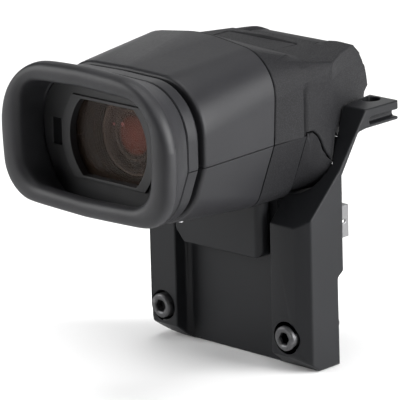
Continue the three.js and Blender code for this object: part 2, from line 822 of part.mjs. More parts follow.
// The whole casing with its collar and groove, before it is parted.
function casingWhole() {
  const throat = spigotInset + frontWall;
  const roundStart = casingFront + frontRoundLength;
  const frontRound = (wall, length, shares) => shares.map((along) => [
    blend(headOutline(wall), frontOutline(wall), 1 - Math.sqrt(1 - along ** 2)),
    roundStart - length * along,
  ]);
  const shell = tubeWall([
    [frontOutline(spigotInset), seamY - spigotLength],
    [frontOutline(spigotInset), seamLean],
    [frontOutline(collarInset), seamLean],
    [frontOutline(collarInset), collarBack],
    [frontOutline(grooveInset), collarBack],
    [frontOutline(grooveInset), casingFront],
    ...frontRound(0, frontRoundLength, frontRoundShares).reverse(),
    [headOutline(0), casingBack],
    [headOutline(casingWall), casingBack],
    ...frontRound(casingWall, frontRoundLength - casingWall, innerRoundShares),
    [frontOutline(throat), casingFront + casingWall],
    [frontOutline(throat), seamY - spigotLength],
  ]);
  const dialRod = (radius, from, to, steps) => rodX(radius, from, to, dialY, dialZ, steps);
  const dialRecess = dialRod(dialRadius + seatGap, dialSeatX - overrun * 2, dialSeatX);
  const dialBore = dialRod(dialShaftRadius + seatGap, dialSeatX - overrun, dialSeatX + overrun, hiddenSteps);
  const dialBoss = dialRod(dialRadius + casingWall, dialSeatX - dialSink, dialSeatX + casingWall);
  const inside = alongY(headOutline(casingWall / 2), casingFront, casingBack);
  return cut(union(shell, dialBoss.intersect(inside)), dialRecess, dialBore);
}

const halfSpace = (from, to) => box(
  -headHalfWidth - overrun, headHalfWidth + overrun, rimFront, earEndY + overrun, from, to,
);

const upperCasing = () => casingWhole()
  .intersect(halfSpace(partingZ + partingGap / 2, headTop + overrun));

function lowerCasing() {
  const lower = casingWhole().intersect(halfSpace(headBottom - overrun, partingZ - partingGap / 2));
  const seat = mainBoardZ - boardThickness / 2 - seatGap;
  const posts = boardScrewPlaces.map(([x, y]) =>
    rodZ(postRadius, headBottom + casingWall * screwHeadShare, seat, x, y, hiddenSteps));
  const threads = boardScrewHoles(mainBoardZ - boardScrewLength - seatGap, mainBoardZ);
  return cut(union(lower, ...posts), ...threads);
}

const earSection = (distance) => rounded(inset(symmetric([
  [0, plateauZ + seatGap, crownRadius],
  [earFaceX + earShoulderProud, plateauZ - earShoulderDrop, earShoulderRadius],
  [earFaceX + earShoulderProud, partingZ, beltRadius],
  [earFaceX, cradleBottom, cradleCorner],
  [0, cradleBottom - keelDrop, keelRadius],
]), distance), sectionSteps);

// Upper rear housing: half a ring that turns into the two hinge ears.
function rearHousing() {
  const front = casingBack + seatGap;
  const hull = loft([
    [headOutline(0), front],
    [earSection(0), plateauFrontY],
    [earSection(0), earEndY + overrun],
  ]);
  const side = alongX([
    [front - overrun, partingZ + partingGap / 2],
    [ringBack, partingZ + partingGap / 2],
    ...seamLine(runningGap),
    ...camber(hingeY, hingeZ, bossRadius, bossTopDegrees, drumFootDegrees),
    [hingeY + earRadius - lipDepth, earFootZ],
    [hingeY + earRadius - lipDepth, lipZ - lipDepth / 2],
    ...camber(hingeY, hingeZ, earRadius, lipDegrees, earTopDegrees),
    [plateauBackY, plateauZ],
    [plateauBackY, headTop + overrun],
    [front - overrun, headTop + overrun],
  ], -headHalfWidth - overrun, headHalfWidth + overrun);
  const plan = alongZ(earPlan(0, ringBack, earFaceX), footBottom, headTop + overrun);
  const ring = box(
    -headHalfWidth - overrun, headHalfWidth + overrun,
    front - overrun, ringBack, footBottom, headTop + overrun,
  );
  const shoulders = alongZ([
    [-earTabX, earTabY],
    [-earTipX - earShoulderProud, earTipY],
    [-earFaceX - earShoulderProud, earStepEndY],
    [earFaceX + earShoulderProud, earStepEndY],
    [earTipX + earShoulderProud, earTipY],
    [earTabX, earTabY],
  ], earStepZ, headTop + overrun);
  const bridge = box(
    -headHalfWidth - overrun, headHalfWidth + overrun,
    ringBack - overrun, earStepEndY, earStepZ, headTop + overrun,
  );
  const reach = earEndY - casingBack;
  const facet = alongY([
    [0, 0],
    [reach, -reach * shoulderFacetShare],
    [reach, reach],
    [0, reach],
  ], -reach, reach).rotate([0, 0, shoulderFacetDegrees]).translate([plateauCornerX, plateauBackY, plateauZ]);
  const outer = cut(
    hull.intersect(side).intersect(union(plan, ring, shoulders, bridge)),
    facet, facet.mirror([1, 0, 0]),
  );
  const ringRoom = loft([
    [headOutline(housingWall), front - overrun],
    [earSection(housingWall), plateauFrontY],
    [earSection(housingWall), plateauFrontY + seatGap],
  ]);
  const ringOnly = box(
    -headHalfWidth, headHalfWidth, front - overrun, ringBack - housingWall, footBottom, headTop,
  );
  const roof = plateauZ - roofThickness;
  const middle = union(
    box(-earInnerX, earInnerX, ringBack - housingWall * 2, hingeY, footBottom, roof),
    rodX(drumRadius + runningGap, -earInnerX, earInnerX, hingeY, hingeZ, roundSteps * 2),
  );
  const rearGap = box(-earInnerX, earInnerX, plateauBackY, earEndY + overrun, footBottom, headTop + overrun);
  const panelPocket = box(
    -panelHalfWidth - seatGap, panelHalfWidth + seatGap, panelFrontY - seatGap, panelBackY + seatGap,
    plateauZ - panelSink - panelThickness - seatGap, headTop,
  );
  const notches = [-1, 1].map((s) => {
    const [from, to] = [s * (earInnerX - seatGap), s * earNotchX].sort((a, b) => a - b);
    return box(
      from, to, earNotchFront, earNotchFront + earNotchLength, plateauZ - earNotchDepth, headTop,
    );
  });
  const pinEnd = pinOuterX + seatGap;
  const pinBores = rodX(shaftRadius + seatGap, -pinEnd, pinEnd, hingeY, hingeZ, hiddenSteps);
  return cut(outer, ringRoom.intersect(ringOnly), middle, rearGap, panelPocket, ...notches, pinBores);
}

function lowerRearHousing() {
  const front = casingBack + seatGap;
  const raised = (distance) => headOutline(distance)
    .map(([x, z]) => [x, Math.max(z, headBottom + keelRise + distance)]);
  const outer = loft([[headOutline(0), front], [raised(0), ringBack]]);
  const inner = loft([
    [headOutline(housingWall), front - overrun],
    [raised(housingWall), ringBack - housingWall],
  ]);
  return cut(outer, inner).intersect(halfSpace(headBottom - overrun, partingZ - partingGap / 2));
}

const topPanel = () => box(
  -panelHalfWidth, panelHalfWidth, panelFrontY, panelBackY,
  plateauZ - panelSink - panelThickness, plateauZ - panelSink,
);

const ovalOutline = (halfWidth, top, bottom, radius, lowRadius) => rounded(symmetric([
  [0, top + rimCrown, crownRadius],
  [halfWidth, top, radius],
  [halfWidth + rimCrown, (top + bottom) / 2, crownRadius],
  [halfWidth, bottom, lowRadius],
  [0, bottom - rimCrown, crownRadius],
]), sectionSteps);

function eyecup() {
  const rim = (distance) => ovalOutline(
    rimHalfWidth - distance, rimTop - distance, rimBottom + distance,
    rimRadius - distance, rimLowRadius - distance,
  );
  const mouth = (grow) => ovalOutline(
    rimInnerHalfWidth + grow, rimInnerTop + grow, rimInnerBottom - grow,
    rimInnerRadius + grow, rimInnerLowRadius + grow,
  );
  const leaning = (z) => seamLean(z) - seatGap;
  const start = seamY - seatGap;
  const depth = start - rimFront;
  const seat = frontOutline(spigotInset - seatGap);
  const flank = cupFlankShares.map(([along, share]) =>
    [blend(frontOutline(collarInset), rim(0), share), start - depth * along]);
  const [near, half, far] = lipShares;
  return tubeWall([
    [frontOutline(collarInset), leaning],
    ...flank,
    [rim(0), rimFront + lipRound * far],
    [rim(lipRound * near), rimFront + lipRound * half],
    [rim(lipRound), rimFront],
    [mouth(mouthRound), rimFront],
    [mouth(mouthRound * near), rimFront + mouthRound * half],
    [mouth(0), rimFront + mouthRound * far],
    [blend(mouth(0), seat, cupFloorShare), bezelFront - seatGap],
    [seat, bezelFront - seatGap],
    [seat, leaning],
  ]);
}

// The window's outline: a circle with its top and bottom cut flat.
function windowOutline(radius, halfHeight) {
  const angle = THREE.MathUtils.radToDeg(Math.asin(halfHeight / radius));
  const flank = (middle) => arc(0, axisZ, radius, middle - angle, middle + angle, arcSteps);
  return [...flank(0), ...flank(180)];
}

function bezel() {
  const plate = alongY(frontOutline(spigotInset + seatGap), bezelFront, bezelFront + bezelThickness);
  const frame = alongY(
    windowOutline(windowRadius + windowFrame, windowHalfHeight + windowFrame),
    bezelFront - windowFrameProud, bezelFront + bezelThickness / 2,
  );
  const opening = alongY(
    windowOutline(windowRadius, windowHalfHeight),
    bezelFront - overrun, bezelFront + overrun,
  );
  const glassSeat = alongY(
    windowOutline(windowRadius + glassOverlap + seatGap, windowHalfHeight + glassOverlap + seatGap),
    bezelFront + bezelThickness - glassThickness / 2, bezelFront + overrun,
  );
  const sensorHole = box(
    sensorX - sensorHalfWidth - seatGap, sensorX + sensorHalfWidth + seatGap,
    bezelFront - overrun, bezelFront + overrun,
    axisZ - sensorHalfHeight - seatGap, axisZ + sensorHalfHeight + seatGap,
  );
  return cut(union(plate, frame), opening, glassSeat, sensorHole);
}

const eyepieceGlass = () => alongY(
  windowOutline(windowRadius + glassOverlap, windowHalfHeight + glassOverlap),
  bezelFront + bezelThickness - glassThickness / 2 + seatGap,
  bezelFront + bezelThickness + glassThickness / 2 + seatGap,
);

const sensorWindow = () => box(
  sensorX - sensorHalfWidth, sensorX + sensorHalfWidth, bezelFront + seatGap, bezelFront + bezelThickness,
  axisZ - sensorHalfHeight, axisZ + sensorHalfHeight,
);

const sensorBoard = () => box(
  sensorX - sensorHalfWidth + seatGap, sensorX + sensorHalfWidth - seatGap,
  bezelFront + bezelThickness + seatGap, bezelFront + bezelThickness + seatGap + boardThickness,
  axisZ - sensorHalfHeight, axisZ + sensorHalfHeight,
);

function lensGuide() {
  const tube = rodY(guideRadius, guideFront, guideBack, 0, axisZ, opticSteps);
  const flange = alongY(headOutline(casingWall + seatGap), guideBack - flangeThickness, guideBack);
  const boreEnd = guideBack - flangeThickness;
  const bore = rodY(guideRadius - guideWall, guideFront - overrun, boreEnd, 0, axisZ, opticSteps);
  const light = box(
    -displayHalfWidth, displayHalfWidth, guideBack - overrun, guideBack + overrun,
    axisZ - displayHalfHeight, axisZ + displayHalfHeight,
  );
  const pinSlot = box(
    -guideRadius - overrun, -guideRadius + overrun * 2,
    dialY - dialPinOffset - dialPinRadius - runningGap, dialY + dialPinOffset + dialPinRadius + runningGap,
    dialZ - dialPinOffset - dialPinRadius - runningGap, dialZ + dialPinOffset + dialPinRadius + runningGap,
  );
  const threads = displayScrewPlaces.map(([x, z]) =>
    rodY(displayScrewRadius + seatGap, guideBack - overrun, guideBack + overrun, x, z, hiddenSteps / 2));
  return cut(union(tube, flange), bore, light, pinSlot, ...threads);
}

// Lens cell: a tube stepped down from lens to lens, with a groove for the dial's pin.
function lensCell() {
  const inner = cellRadius - cellWall;
  const [first, second, third] = lensSizes;
  const bore = turned([
    [0, cellFront - overrun],
    [inner, cellFront - overrun],
    [inner, first.back + seatGap],
    [cellThroat, first.back + seatGap],
    [cellThroat, second.front - seatGap],
    [second.radius + seatGap, second.front - seatGap],
    [second.radius + seatGap, second.back + seatGap],
    [third.radius + seatGap, second.back + seatGap],
    [third.radius + seatGap, third.back + seatGap],
    [cellRearBore, third.back + seatGap],
    [cellRearBore, cellBack + overrun],
    [0, cellBack + overrun],
  ], opticSteps, 'y', 0, 0, axisZ);
  const groove = box(
    -cellRadius - overrun, dialPinStartX + dialPinLength + runningGap,
    dialY - dialPinRadius - pinPlay, dialY + dialPinRadius + pinPlay,
    dialZ - dialPinOffset - dialPinRadius - runningGap, dialZ + dialPinOffset + dialPinRadius + runningGap,
  );
  return cut(rodY(cellRadius, cellFront, cellBack, 0, axisZ, opticSteps), bore, groove);
}

// A lens turned from its two bulges; a negative bulge is hollow.
function lens({ radius, front, back, frontBulge, backBulge }) {
  const face = (edge, bulge, towards) => Array.from({ length: lensRings + 1 }, (_, i) => {
    const r = (radius * i) / lensRings;
    return [r, edge + towards * bulge * (1 - (r / radius) ** 2)];
  });
  const profile = [...face(front, frontBulge, -1), ...face(back, backBulge, 1).reverse()];
  return turned(profile, opticSteps, 'y', 0, 0, axisZ);
}

function retainingRing() {
  const outer = cellRadius - cellWall - seatGap;
  return rodY(outer, cellFront, cellFront + ringDepth, 0, axisZ, opticSteps)
    .subtract(rodY(outer - ringWidth, cellFront - overrun, cellFront + overrun, 0, axisZ, opticSteps));
}

const displayScrewPlaces = [-1, 1].flatMap((side) =>
  [-1, 1].map((up) => [side * displayScrewX, axisZ + up * displayScrewRise]));

const displayScrewHoles = (radius) => displayScrewPlaces.map(([x, z]) =>
  rodY(radius, guideBack - overrun, casingBack + overrun, x, z, hiddenSteps / 2));

function displayHolder() {
  const plate = box(
    -holderHalfSize, holderHalfSize, guideBack + seatGap, guideBack + seatGap + holderThickness,
    axisZ - holderHalfSize, axisZ + holderHalfSize,
  );
  const opening = box(
    -displayHalfWidth - seatGap, displayHalfWidth + seatGap, guideBack - overrun, casingBack,
    axisZ - displayHalfHeight - seatGap, axisZ + displayHalfHeight + seatGap,
  );
  return cut(plate, opening, ...displayScrewHoles(displayScrewRadius + seatGap));
}

const displayPanel = () => box(
  -displayHalfWidth, displayHalfWidth, guideBack + seatGap * 2, guideBack + seatGap * 2 + displayThickness,
  axisZ - displayHalfHeight, axisZ + displayHalfHeight,
);

const displayBoard = () => cut(box(
  -boardHalfWidth, boardHalfWidth, displayBoardFront, displayBoardFront + boardThickness,
  axisZ - boardHalfHeight, axisZ + boardHalfHeight,
), ...displayScrewHoles(displayScrewRadius + seatGap));

const displayScrew = ([x, z]) => capScrew({
  x,
  z,
  headRadius: displayScrewHead,
  headHeight: displayScrewHead * screwHeadShare,
  radius: displayScrewRadius,
  headFace: displayBoardFront + boardThickness + seatGap + displayScrewHead * screwHeadShare,
  tip: guideBack - flangeThickness + seatGap,
  across: displayScrewRadius,
  bevel: displayScrewRadius * bevelShare,
  steps: hiddenSteps / 2,
});

const boardScrewPlaces = [-1, 1].flatMap((side) => [mainBoardFront + postInset, mainBoardBack - postInset]
  .map((y) => [side * (mainBoardHalfWidth - postInset), y]));

const boardScrewHoles = (from, to) => boardScrewPlaces.map(([x, y]) =>
  rodZ(boardScrewRadius + seatGap, from, to, x, y, hiddenSteps / 2));

const mainBoard = () => cut(box(
  -mainBoardHalfWidth, mainBoardHalfWidth, mainBoardFront, mainBoardBack,
  mainBoardZ - boardThickness / 2, mainBoardZ + boardThickness / 2,
), ...boardScrewHoles(mainBoardZ - overrun, mainBoardZ + overrun));

function boardScrew([x, y]) {
  const seat = mainBoardZ + boardThickness / 2 + seatGap;
  const rod = (radius, from, to) => rodZ(radius, from, to, x, y, hiddenSteps / 2);
  const top = seat + boardScrewHead * screwHeadShare;
  return union(rod(boardScrewHead, seat, top), rod(boardScrewRadius, mainBoardZ - boardScrewLength, top));
}

function diopterDial() {
  const rim = [];
  for (let i = 0; i < dialRibs * 2; i += 1) {
    const angle = (Math.PI * i) / dialRibs;
    const radius = dialRadius - (i % 2) * dialRibDepth;
    rim.push([dialY + radius * Math.cos(angle), dialZ + radius * Math.sin(angle)]);
  }
  const knob = alongX(rim, dialSeatX - dialSink - dialProud, dialSeatX - seatGap);
  const rod = (radius, from, to, z) => rodX(radius, from, to, dialY, z, hiddenSteps);
  const webStart = dialPinStartX - dialWeb;
  const shaft = rod(dialShaftRadius, dialSeatX - dialSink, dialPinStartX, dialZ);
  const web = rod(dialPinOffset + dialPinRadius + dialWebRim, webStart, dialPinStartX, dialZ);
  const pin = rod(dialPinRadius, webStart, dialPinStartX + dialPinLength, dialZ + dialPinOffset);
  return union(knob, shaft, web, pin);
}

const mountScrew = (x) => capScrew({
  x,
  z: 0,
  headRadius: screwHeadRadius,
  headHeight: screwHeadHeight,
  radius: screwRadius,
  headFace: screwHeadFace,
  tip: screwTail,
  across: screwSocketAcross,
  bevel: screwHeadBevel,
  steps: roundSteps,
});

const neckScrew = (x) => capScrew({
  x,
  z: neckScrewZ,
  headRadius: neckScrewHead,
  headHeight: neckScrewHeadHeight,
  radius: neckScrewRadius,
  headFace: footBack,
  tip: neckScrewTip,
  across: neckScrewAcross,
  bevel: neckScrewRadius * bevelShare,
  steps: hiddenSteps,
});

const sleeve = (side) =>
  hingeTube(side, sleeveInnerX, sleeveOuterX, shaftRadius + seatGap, shaftRadius + sleeveWall);
const washer = (side) => hingeTube(
  side, drumHalfWidth + seatGap, drumHalfWidth + seatGap + washerThickness,
  shaftRadius + seatGap, washerRadius,
);

const grained = { color: 0x3f3f42, roughness: 0.85, metalness: 0.1 };
const satin = { color: 0x5c5c60, roughness: 0.5, metalness: 0.3 };
const smooth = { color: 0x3e4144, roughness: 0.55, metalness: 0.3 };
const rubber = { color: 0x35353a, roughness: 0.95, metalness: 0 };
const moulded = { color: 0x1c1c1e, roughness: 0.7, metalness: 0 };
const steel = { color: 0x8c8c90, roughness: 0.35, metalness: 0.9 };
const blackSteel = { color: 0x202022, roughness: 0.4, metalness: 0.8 };
const bronze = { color: 0x8a6a3c, roughness: 0.45, metalness: 0.8 };
const glass = { color: 0x2a1f1c, roughness: 0.08, metalness: 0 };
const panel = { color: 0x101014, roughness: 0.15, metalness: 0 };
const laminate = { color: 0x1f4a33, roughness: 0.6, metalness: 0.1 };

const group = new THREE.Group();
group.name = 'electronic_viewfinder';

const sides = [['left', -1], ['right', 1]];
group.add(
  meshOf('mount_bracket', mountBracket(), smooth),
  meshOf('neck_block', neckBlock(), smooth),
  meshOf('hinge_cradle', hingeCradle(), grained),
  meshOf('plug_shell', plugShell(), steel),
  meshOf('plug_insert', plugInsert(), moulded),
  meshOf('upper_casing', upperCasing(), satin),
  meshOf('lower_casing', lowerCasing(), satin),
  meshOf('rear_housing', rearHousing(), grained),
  meshOf('lower_rear_housing', lowerRearHousing(), grained),
  meshOf('top_panel', topPanel(), smooth),
  meshOf('eyecup', eyecup(), rubber),
  meshOf('eyepiece_bezel', bezel(), moulded),
  meshOf('eyepiece_glass', eyepieceGlass(), glass),
  meshOf('eye_sensor_window', sensorWindow(), panel),
  meshOf('eye_sensor_board', sensorBoard(), laminate),
  meshOf('lens_guide', lensGuide(), moulded),
  meshOf('lens_cell', lensCell(), moulded),
  meshOf('lens_retaining_ring', retainingRing(), blackSteel),
  meshOf('display_holder', displayHolder(), moulded),
  meshOf('display_panel', displayPanel(), panel),
  meshOf('display_board', displayBoard(), laminate),
  meshOf('main_board', mainBoard(), laminate),
  meshOf('diopter_dial', diopterDial(), moulded),
);

sides.forEach(([word, side], i) => group.add(
  meshOf(`mount_screw_${word}`, mountScrew(screwPlaces[i]), blackSteel),
  meshOf(`screw_clip_${word}`, clip(screwPlaces[i]), steel),
  meshOf(`neck_screw_${word}`, neckScrew(neckScrewPlaces[i]), blackSteel),
  meshOf(`hinge_pin_${word}`, hingePin(side), steel),
  meshOf(`friction_sleeve_${word}`, sleeve(side), bronze),
  meshOf(`friction_washer_${word}`, washer(side), bronze),
));

lensSizes.forEach((sizes, i) => group.add(meshOf(`lens_${i + 1}`, lens(sizes), glass)));
displayScrewPlaces.forEach((place, i) => {
  group.add(meshOf(`display_screw_${i + 1}`, displayScrew(place), steel));
});
boardScrewPlaces.forEach((place, i) => {
  group.add(meshOf(`board_screw_${i + 1}`, boardScrew(place), steel));
});

export default group;
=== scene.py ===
"""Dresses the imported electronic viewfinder: pieces, procedural finishes, camera and studio."""

import json
import math

import bmesh
import bpy
from mathutils import Matrix, Vector
from mathutils.geometry import intersect_point_line

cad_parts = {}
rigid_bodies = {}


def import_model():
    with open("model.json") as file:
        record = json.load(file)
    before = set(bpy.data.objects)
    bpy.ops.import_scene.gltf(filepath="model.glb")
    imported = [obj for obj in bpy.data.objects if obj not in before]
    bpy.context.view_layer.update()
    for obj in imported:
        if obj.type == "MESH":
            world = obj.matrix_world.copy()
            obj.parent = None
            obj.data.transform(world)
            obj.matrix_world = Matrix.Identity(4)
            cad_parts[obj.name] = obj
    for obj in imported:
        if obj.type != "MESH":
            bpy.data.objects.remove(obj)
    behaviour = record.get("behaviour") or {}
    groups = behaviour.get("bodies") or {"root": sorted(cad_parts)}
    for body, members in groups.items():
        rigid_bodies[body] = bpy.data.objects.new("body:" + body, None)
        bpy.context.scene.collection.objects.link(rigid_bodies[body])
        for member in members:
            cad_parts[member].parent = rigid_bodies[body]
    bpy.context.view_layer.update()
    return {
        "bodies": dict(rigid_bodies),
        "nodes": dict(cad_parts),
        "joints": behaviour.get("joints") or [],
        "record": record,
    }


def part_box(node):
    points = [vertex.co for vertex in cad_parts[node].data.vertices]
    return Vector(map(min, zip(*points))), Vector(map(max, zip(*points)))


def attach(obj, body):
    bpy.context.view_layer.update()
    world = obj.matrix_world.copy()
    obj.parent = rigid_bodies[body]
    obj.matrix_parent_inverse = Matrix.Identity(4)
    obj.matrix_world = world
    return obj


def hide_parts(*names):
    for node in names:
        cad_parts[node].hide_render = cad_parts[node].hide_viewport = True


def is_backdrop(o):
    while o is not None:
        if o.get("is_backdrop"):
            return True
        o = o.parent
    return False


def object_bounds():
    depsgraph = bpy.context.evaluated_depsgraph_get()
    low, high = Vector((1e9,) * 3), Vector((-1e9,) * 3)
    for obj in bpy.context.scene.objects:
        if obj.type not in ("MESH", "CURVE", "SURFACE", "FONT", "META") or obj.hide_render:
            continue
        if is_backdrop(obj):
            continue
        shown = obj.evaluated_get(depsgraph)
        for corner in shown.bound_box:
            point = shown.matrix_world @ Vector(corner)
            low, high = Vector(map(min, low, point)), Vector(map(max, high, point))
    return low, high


bl_info = {
    "name": "Electronic Viewfinder",
    "version": (1, 0, 0),
    "blender": (4, 5, 0),
    "location": "View3D > Sidebar > Viewfinder",
    "description": "Builds the visible pieces of an electronic viewfinder on its packed frame",
    "category": "Object",
}

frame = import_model()
BODY_OF = {
    node: body
    for body, nodes in frame["record"]["behaviour"]["bodies"].items()
    for node in nodes
}
SLOT_OF = {part["node"]: part["material_slot"] for part in frame["record"]["subparts"]}
MM = 0.001
CROWN = 0.06  # radius of the corners that only bow an outline
HAIR = 0.00005  # half the gap between the collar and the eyecup
ROUND_STEPS = 96
SHARP_DEGREES, FOLD_DEGREES, SMOOTH_DEGREES = 34, 145, 50
FINE_EDGE = 0.0002


def length(name, text, millimetres):
    """A length property that opens at the given number of millimetres."""
    return bpy.props.FloatProperty(
        name=name, description=text, default=millimetres * MM, subtype="DISTANCE", unit="LENGTH"
    )


def colour(name, text, rgb):
    """A colour property."""
    return bpy.props.FloatVectorProperty(
        name=name, description=text, default=rgb, size=3, min=0, max=1, subtype="COLOR"
    )


def angle(name, text, degrees):
    """An angle property that opens at the given number of degrees."""
    return bpy.props.FloatProperty(
        name=name, description=text, default=math.radians(degrees), subtype="ANGLE"
    )


def power(name, text, watts):
    """A light's power."""
    return bpy.props.FloatProperty(name=name, description=text, default=watts, unit="POWER")


class CupSizes(bpy.types.PropertyGroup):
    """Sizes of the rubber eyecup."""

    rim_half_width: length("Rim half width", "Half the width of the rim", 38)
    rim_top: length("Rim top", "Height of the rim's upper corners", 100.9)
    rim_bottom: length("Rim bottom", "Height of the rim's lower corners", 52.8)
    rim_radius: length("Rim radius", "Rounding of the rim's upper corners", 23)
    rim_low_radius: length("Rim low radius", "Rounding of the rim's lower corners", 14)
    rim_front: length("Rim front", "Place of the rim along the optical axis", -83)
    mouth_half_width: length("Mouth half width", "Half the width of the mouth", 29.2)
    mouth_top: length("Mouth top", "Height of the mouth's upper corners", 94.1)
    mouth_bottom: length("Mouth bottom", "Height of the mouth's lower corners", 59.2)
    mouth_radius: length("Mouth radius", "Rounding of the mouth's upper corners", 9.5)
    mouth_low_radius: length("Mouth low radius", "Rounding of the mouth's lower corners", 10)
    crown: length("Crown", "How far each side bows out in its middle", 1.1)
    flank_front: length("Flank front", "Where the flank turns into the rim", -78)
    floor: length("Floor", "Place of the cup's floor against the window frame", -69.9)


class HeadSizes(bpy.types.PropertyGroup):
    """Sizes of the moulded head."""

    seam_edge: length("Seam edge", "Rounding of the casing's seams", 0.3)
    ear_edge: length("Ear edge", "Rounding of the rear housing's edges", 0.7)
    half_width: length("Half width", "Half the width of the head at the shoulders", 33.5)
    top: length("Top", "Height of the head", 103.7)
    shoulder_drop: length("Shoulder drop", "Fall from the top to the shoulders", 4.3)
    shoulder_radius: length("Shoulder radius", "Rounding of the shoulders", 15.3)
    belt_half_width: length("Belt half width", "Half the width where the casings part", 31.9)
    belt: length("Belt", "Height where the casings part", 69.6)
    belt_gap: length("Belt gap", "Gap between the casings", 0.3)
    foot_half_width: length("Foot half width", "Half the width of the underside", 23)
    bottom: length("Bottom", "Height of the underside", 45.2)
    foot_radius: length("Foot radius", "Rounding towards the underside", 8.5)
    front_half_width: length("Front half width", "Half the width of the casing's front edge", 33.8)
    front_top: length("Front top", "Height of the casing's front edge", 98)
    front_drop: length("Front drop", "Fall from the front's top to its shoulders", 0.8)
    front_radius: length("Front radius", "Rounding of the front's shoulders", 18.5)
    front_foot_half_width: length("Front foot", "Half the width of the front's underside", 25.5)
    front_bottom: length("Front bottom", "Height of the front's underside", 47)
    front_foot_radius: length("Front foot radius", "Rounding of the front's lower corners", 20)
    casing_back: length("Casing back", "Seam between casing and rear housing", -25.5)
    casing_edge: length("Casing edge", "Front edge of the casing, beside the groove", -60.3)
    groove_width: length("Groove width", "Width of the groove behind the collar", 2.3)
    groove_depth: length("Groove depth", "Depth of the groove behind the collar", 2.8)
    seam: length("Seam", "Seam between the collar and the eyecup", -67.5)
    wall: length("Wall", "Thickness of the casing", 1.9)
    spigot: length("Spigot", "How far the casing's lip reaches into the rear housing", 1.2)
    ear_front: length("Ear front", "Where the ears begin behind the groove", -11.4)
    ear_groove_top: length("Ear groove top", "Height where the groove before the ear fades", 88)
    ear_sink: length("Ear sink", "How far the ear is sunk beside the groove", 2.4)
    cradle_front: length("Cradle front", "Place of the cradle's front", -9.2)
    cradle_pull: bpy.props.FloatProperty(
        name="Cradle pull", description="Share that the cradle's front is drawn in", default=0.17
    )
    dial_y: length("Dial y", "Place of the dial along the optical axis", -48.5)
    dial_height: length("Dial height", "Height of the dial's middle", 82)
    dial_radius: length("Dial radius", "Radius of the dial's recess", 7.1)
    dial_seat: length("Dial seat", "Place of the recess's floor", -31.2)


class OpticSizes(bpy.types.PropertyGroup):
    """Sizes of the eyepiece optics."""

    axis_height: length("Axis height", "Height of the optical axis", 74.6)
    window_radius: length("Window radius", "Radius of the window's round sides", 17.8)
    window_half_height: length("Window half height", "Half the height between the flat sides", 13)
    frame_width: length("Frame width", "Width of the raised frame round the window", 3.7)
    frame_rise: length("Frame rise", "Width of the frame above and below the window", 1.1)
    frame_proud: length("Frame proud", "How far the frame stands out", 0.8)
    bezel_front: length("Bezel front", "Place of the bezel's face", -69.6)
    bezel_thickness: length("Bezel thickness", "Thickness of the bezel", 2.2)
    sensor_x: length("Sensor x", "Place of the eye sensor's window", -24.6)
    sensor_half_width: length("Sensor half width", "Half the width of the sensor's window", 2.2)
    sensor_half_height: length("Sensor half height", "Half the height of the sensor's window", 4.5)


class BracketSizes(bpy.types.PropertyGroup):
    """Sizes of the fixed bracket and its fasteners."""

    edge: length("Edge", "Rounding of the bracket's edges", 0.6)
    neck_corner: length("Neck corner", "Rounding of the neck block's lower corners", 2.4)
    screw_bevel: length("Screw bevel", "Rounding of the screw heads", 0.55)


class FinishColours(bpy.types.PropertyGroup):
    """Colours of the finishes."""

    casing: colour("Casing", "Satin paint of the casing", (0.019, 0.019, 0.021))
    grained: colour("Grained", "Fine-grained paint of the rear housing", (0.012, 0.012, 0.0135))
    bracket: colour("Bracket", "Smooth paint of the bracket", (0.011, 0.0115, 0.013))
    rubber: colour("Rubber", "Eyecup rubber", (0.018, 0.018, 0.02))
    plastic: colour("Plastic", "Black inner plastic", (0.01, 0.01, 0.011))
    coating: colour("Coating", "Reflection of the lens coating", (1.0, 0.36, 0.26))
    veil: colour("Veil", "Tint of the window", (0.026, 0.017, 0.012))
    # Colour of the painted reflection that glows in the middle of the first lens.
    painted_glow: colour("Glow", "Middle of the coated lens", (0.26, 0.075, 0.055))
    steel: colour("Steel", "Bright steel", (0.52, 0.52, 0.53))
    black_steel: colour("Black steel", "Blackened screw heads", (0.07, 0.07, 0.073))
    bronze: colour("Bronze", "Friction sleeves and washers", (0.42, 0.27, 0.11))
    laminate: colour("Laminate", "Circuit boards", (0.015, 0.09, 0.04))
    floor: colour("Floor", "Studio floor", (0.93, 0.93, 0.93))


class StudioSettings(bpy.types.PropertyGroup):
    """Camera and lights."""

    camera: bpy.props.FloatVectorProperty(
        name="Camera", description="Place of the camera", default=(0.78821, -0.83606, 0.3675),
        size=3, subtype="TRANSLATION", unit="LENGTH",
    )
    azimuth: angle("Azimuth", "Turn of the camera about the object", 44.3)
    elevation: angle("Elevation", "Camera's angle above the horizon", 15.9)
    roll: angle("Roll", "Turn of the camera about its own axis", -1.55)
    lens: bpy.props.FloatProperty(
        name="Lens", description="Focal length in millimetres", default=315,
        subtype="DISTANCE_CAMERA",
    )
    right: power("Right", "Right softbox", 34)
    back: power("Back", "Softbox behind", 3)
    top: power("Top", "Overhead softbox", 10)
    left: power("Left", "Left softbox", 14.5)
    front: power("Front", "Front softbox", 1.4)
    sky: bpy.props.FloatProperty(
        name="Sky", description="Strength of the even light", default=0.02, min=0
    )


class ViewfinderSettings(bpy.types.PropertyGroup):
    """Everything that a user may change."""

    cup: bpy.props.PointerProperty(type=CupSizes)
    head: bpy.props.PointerProperty(type=HeadSizes)
    optics: bpy.props.PointerProperty(type=OpticSizes)
    bracket: bpy.props.PointerProperty(type=BracketSizes)
    colours: bpy.props.PointerProperty(type=FinishColours)
    studio: bpy.props.PointerProperty(type=StudioSettings)


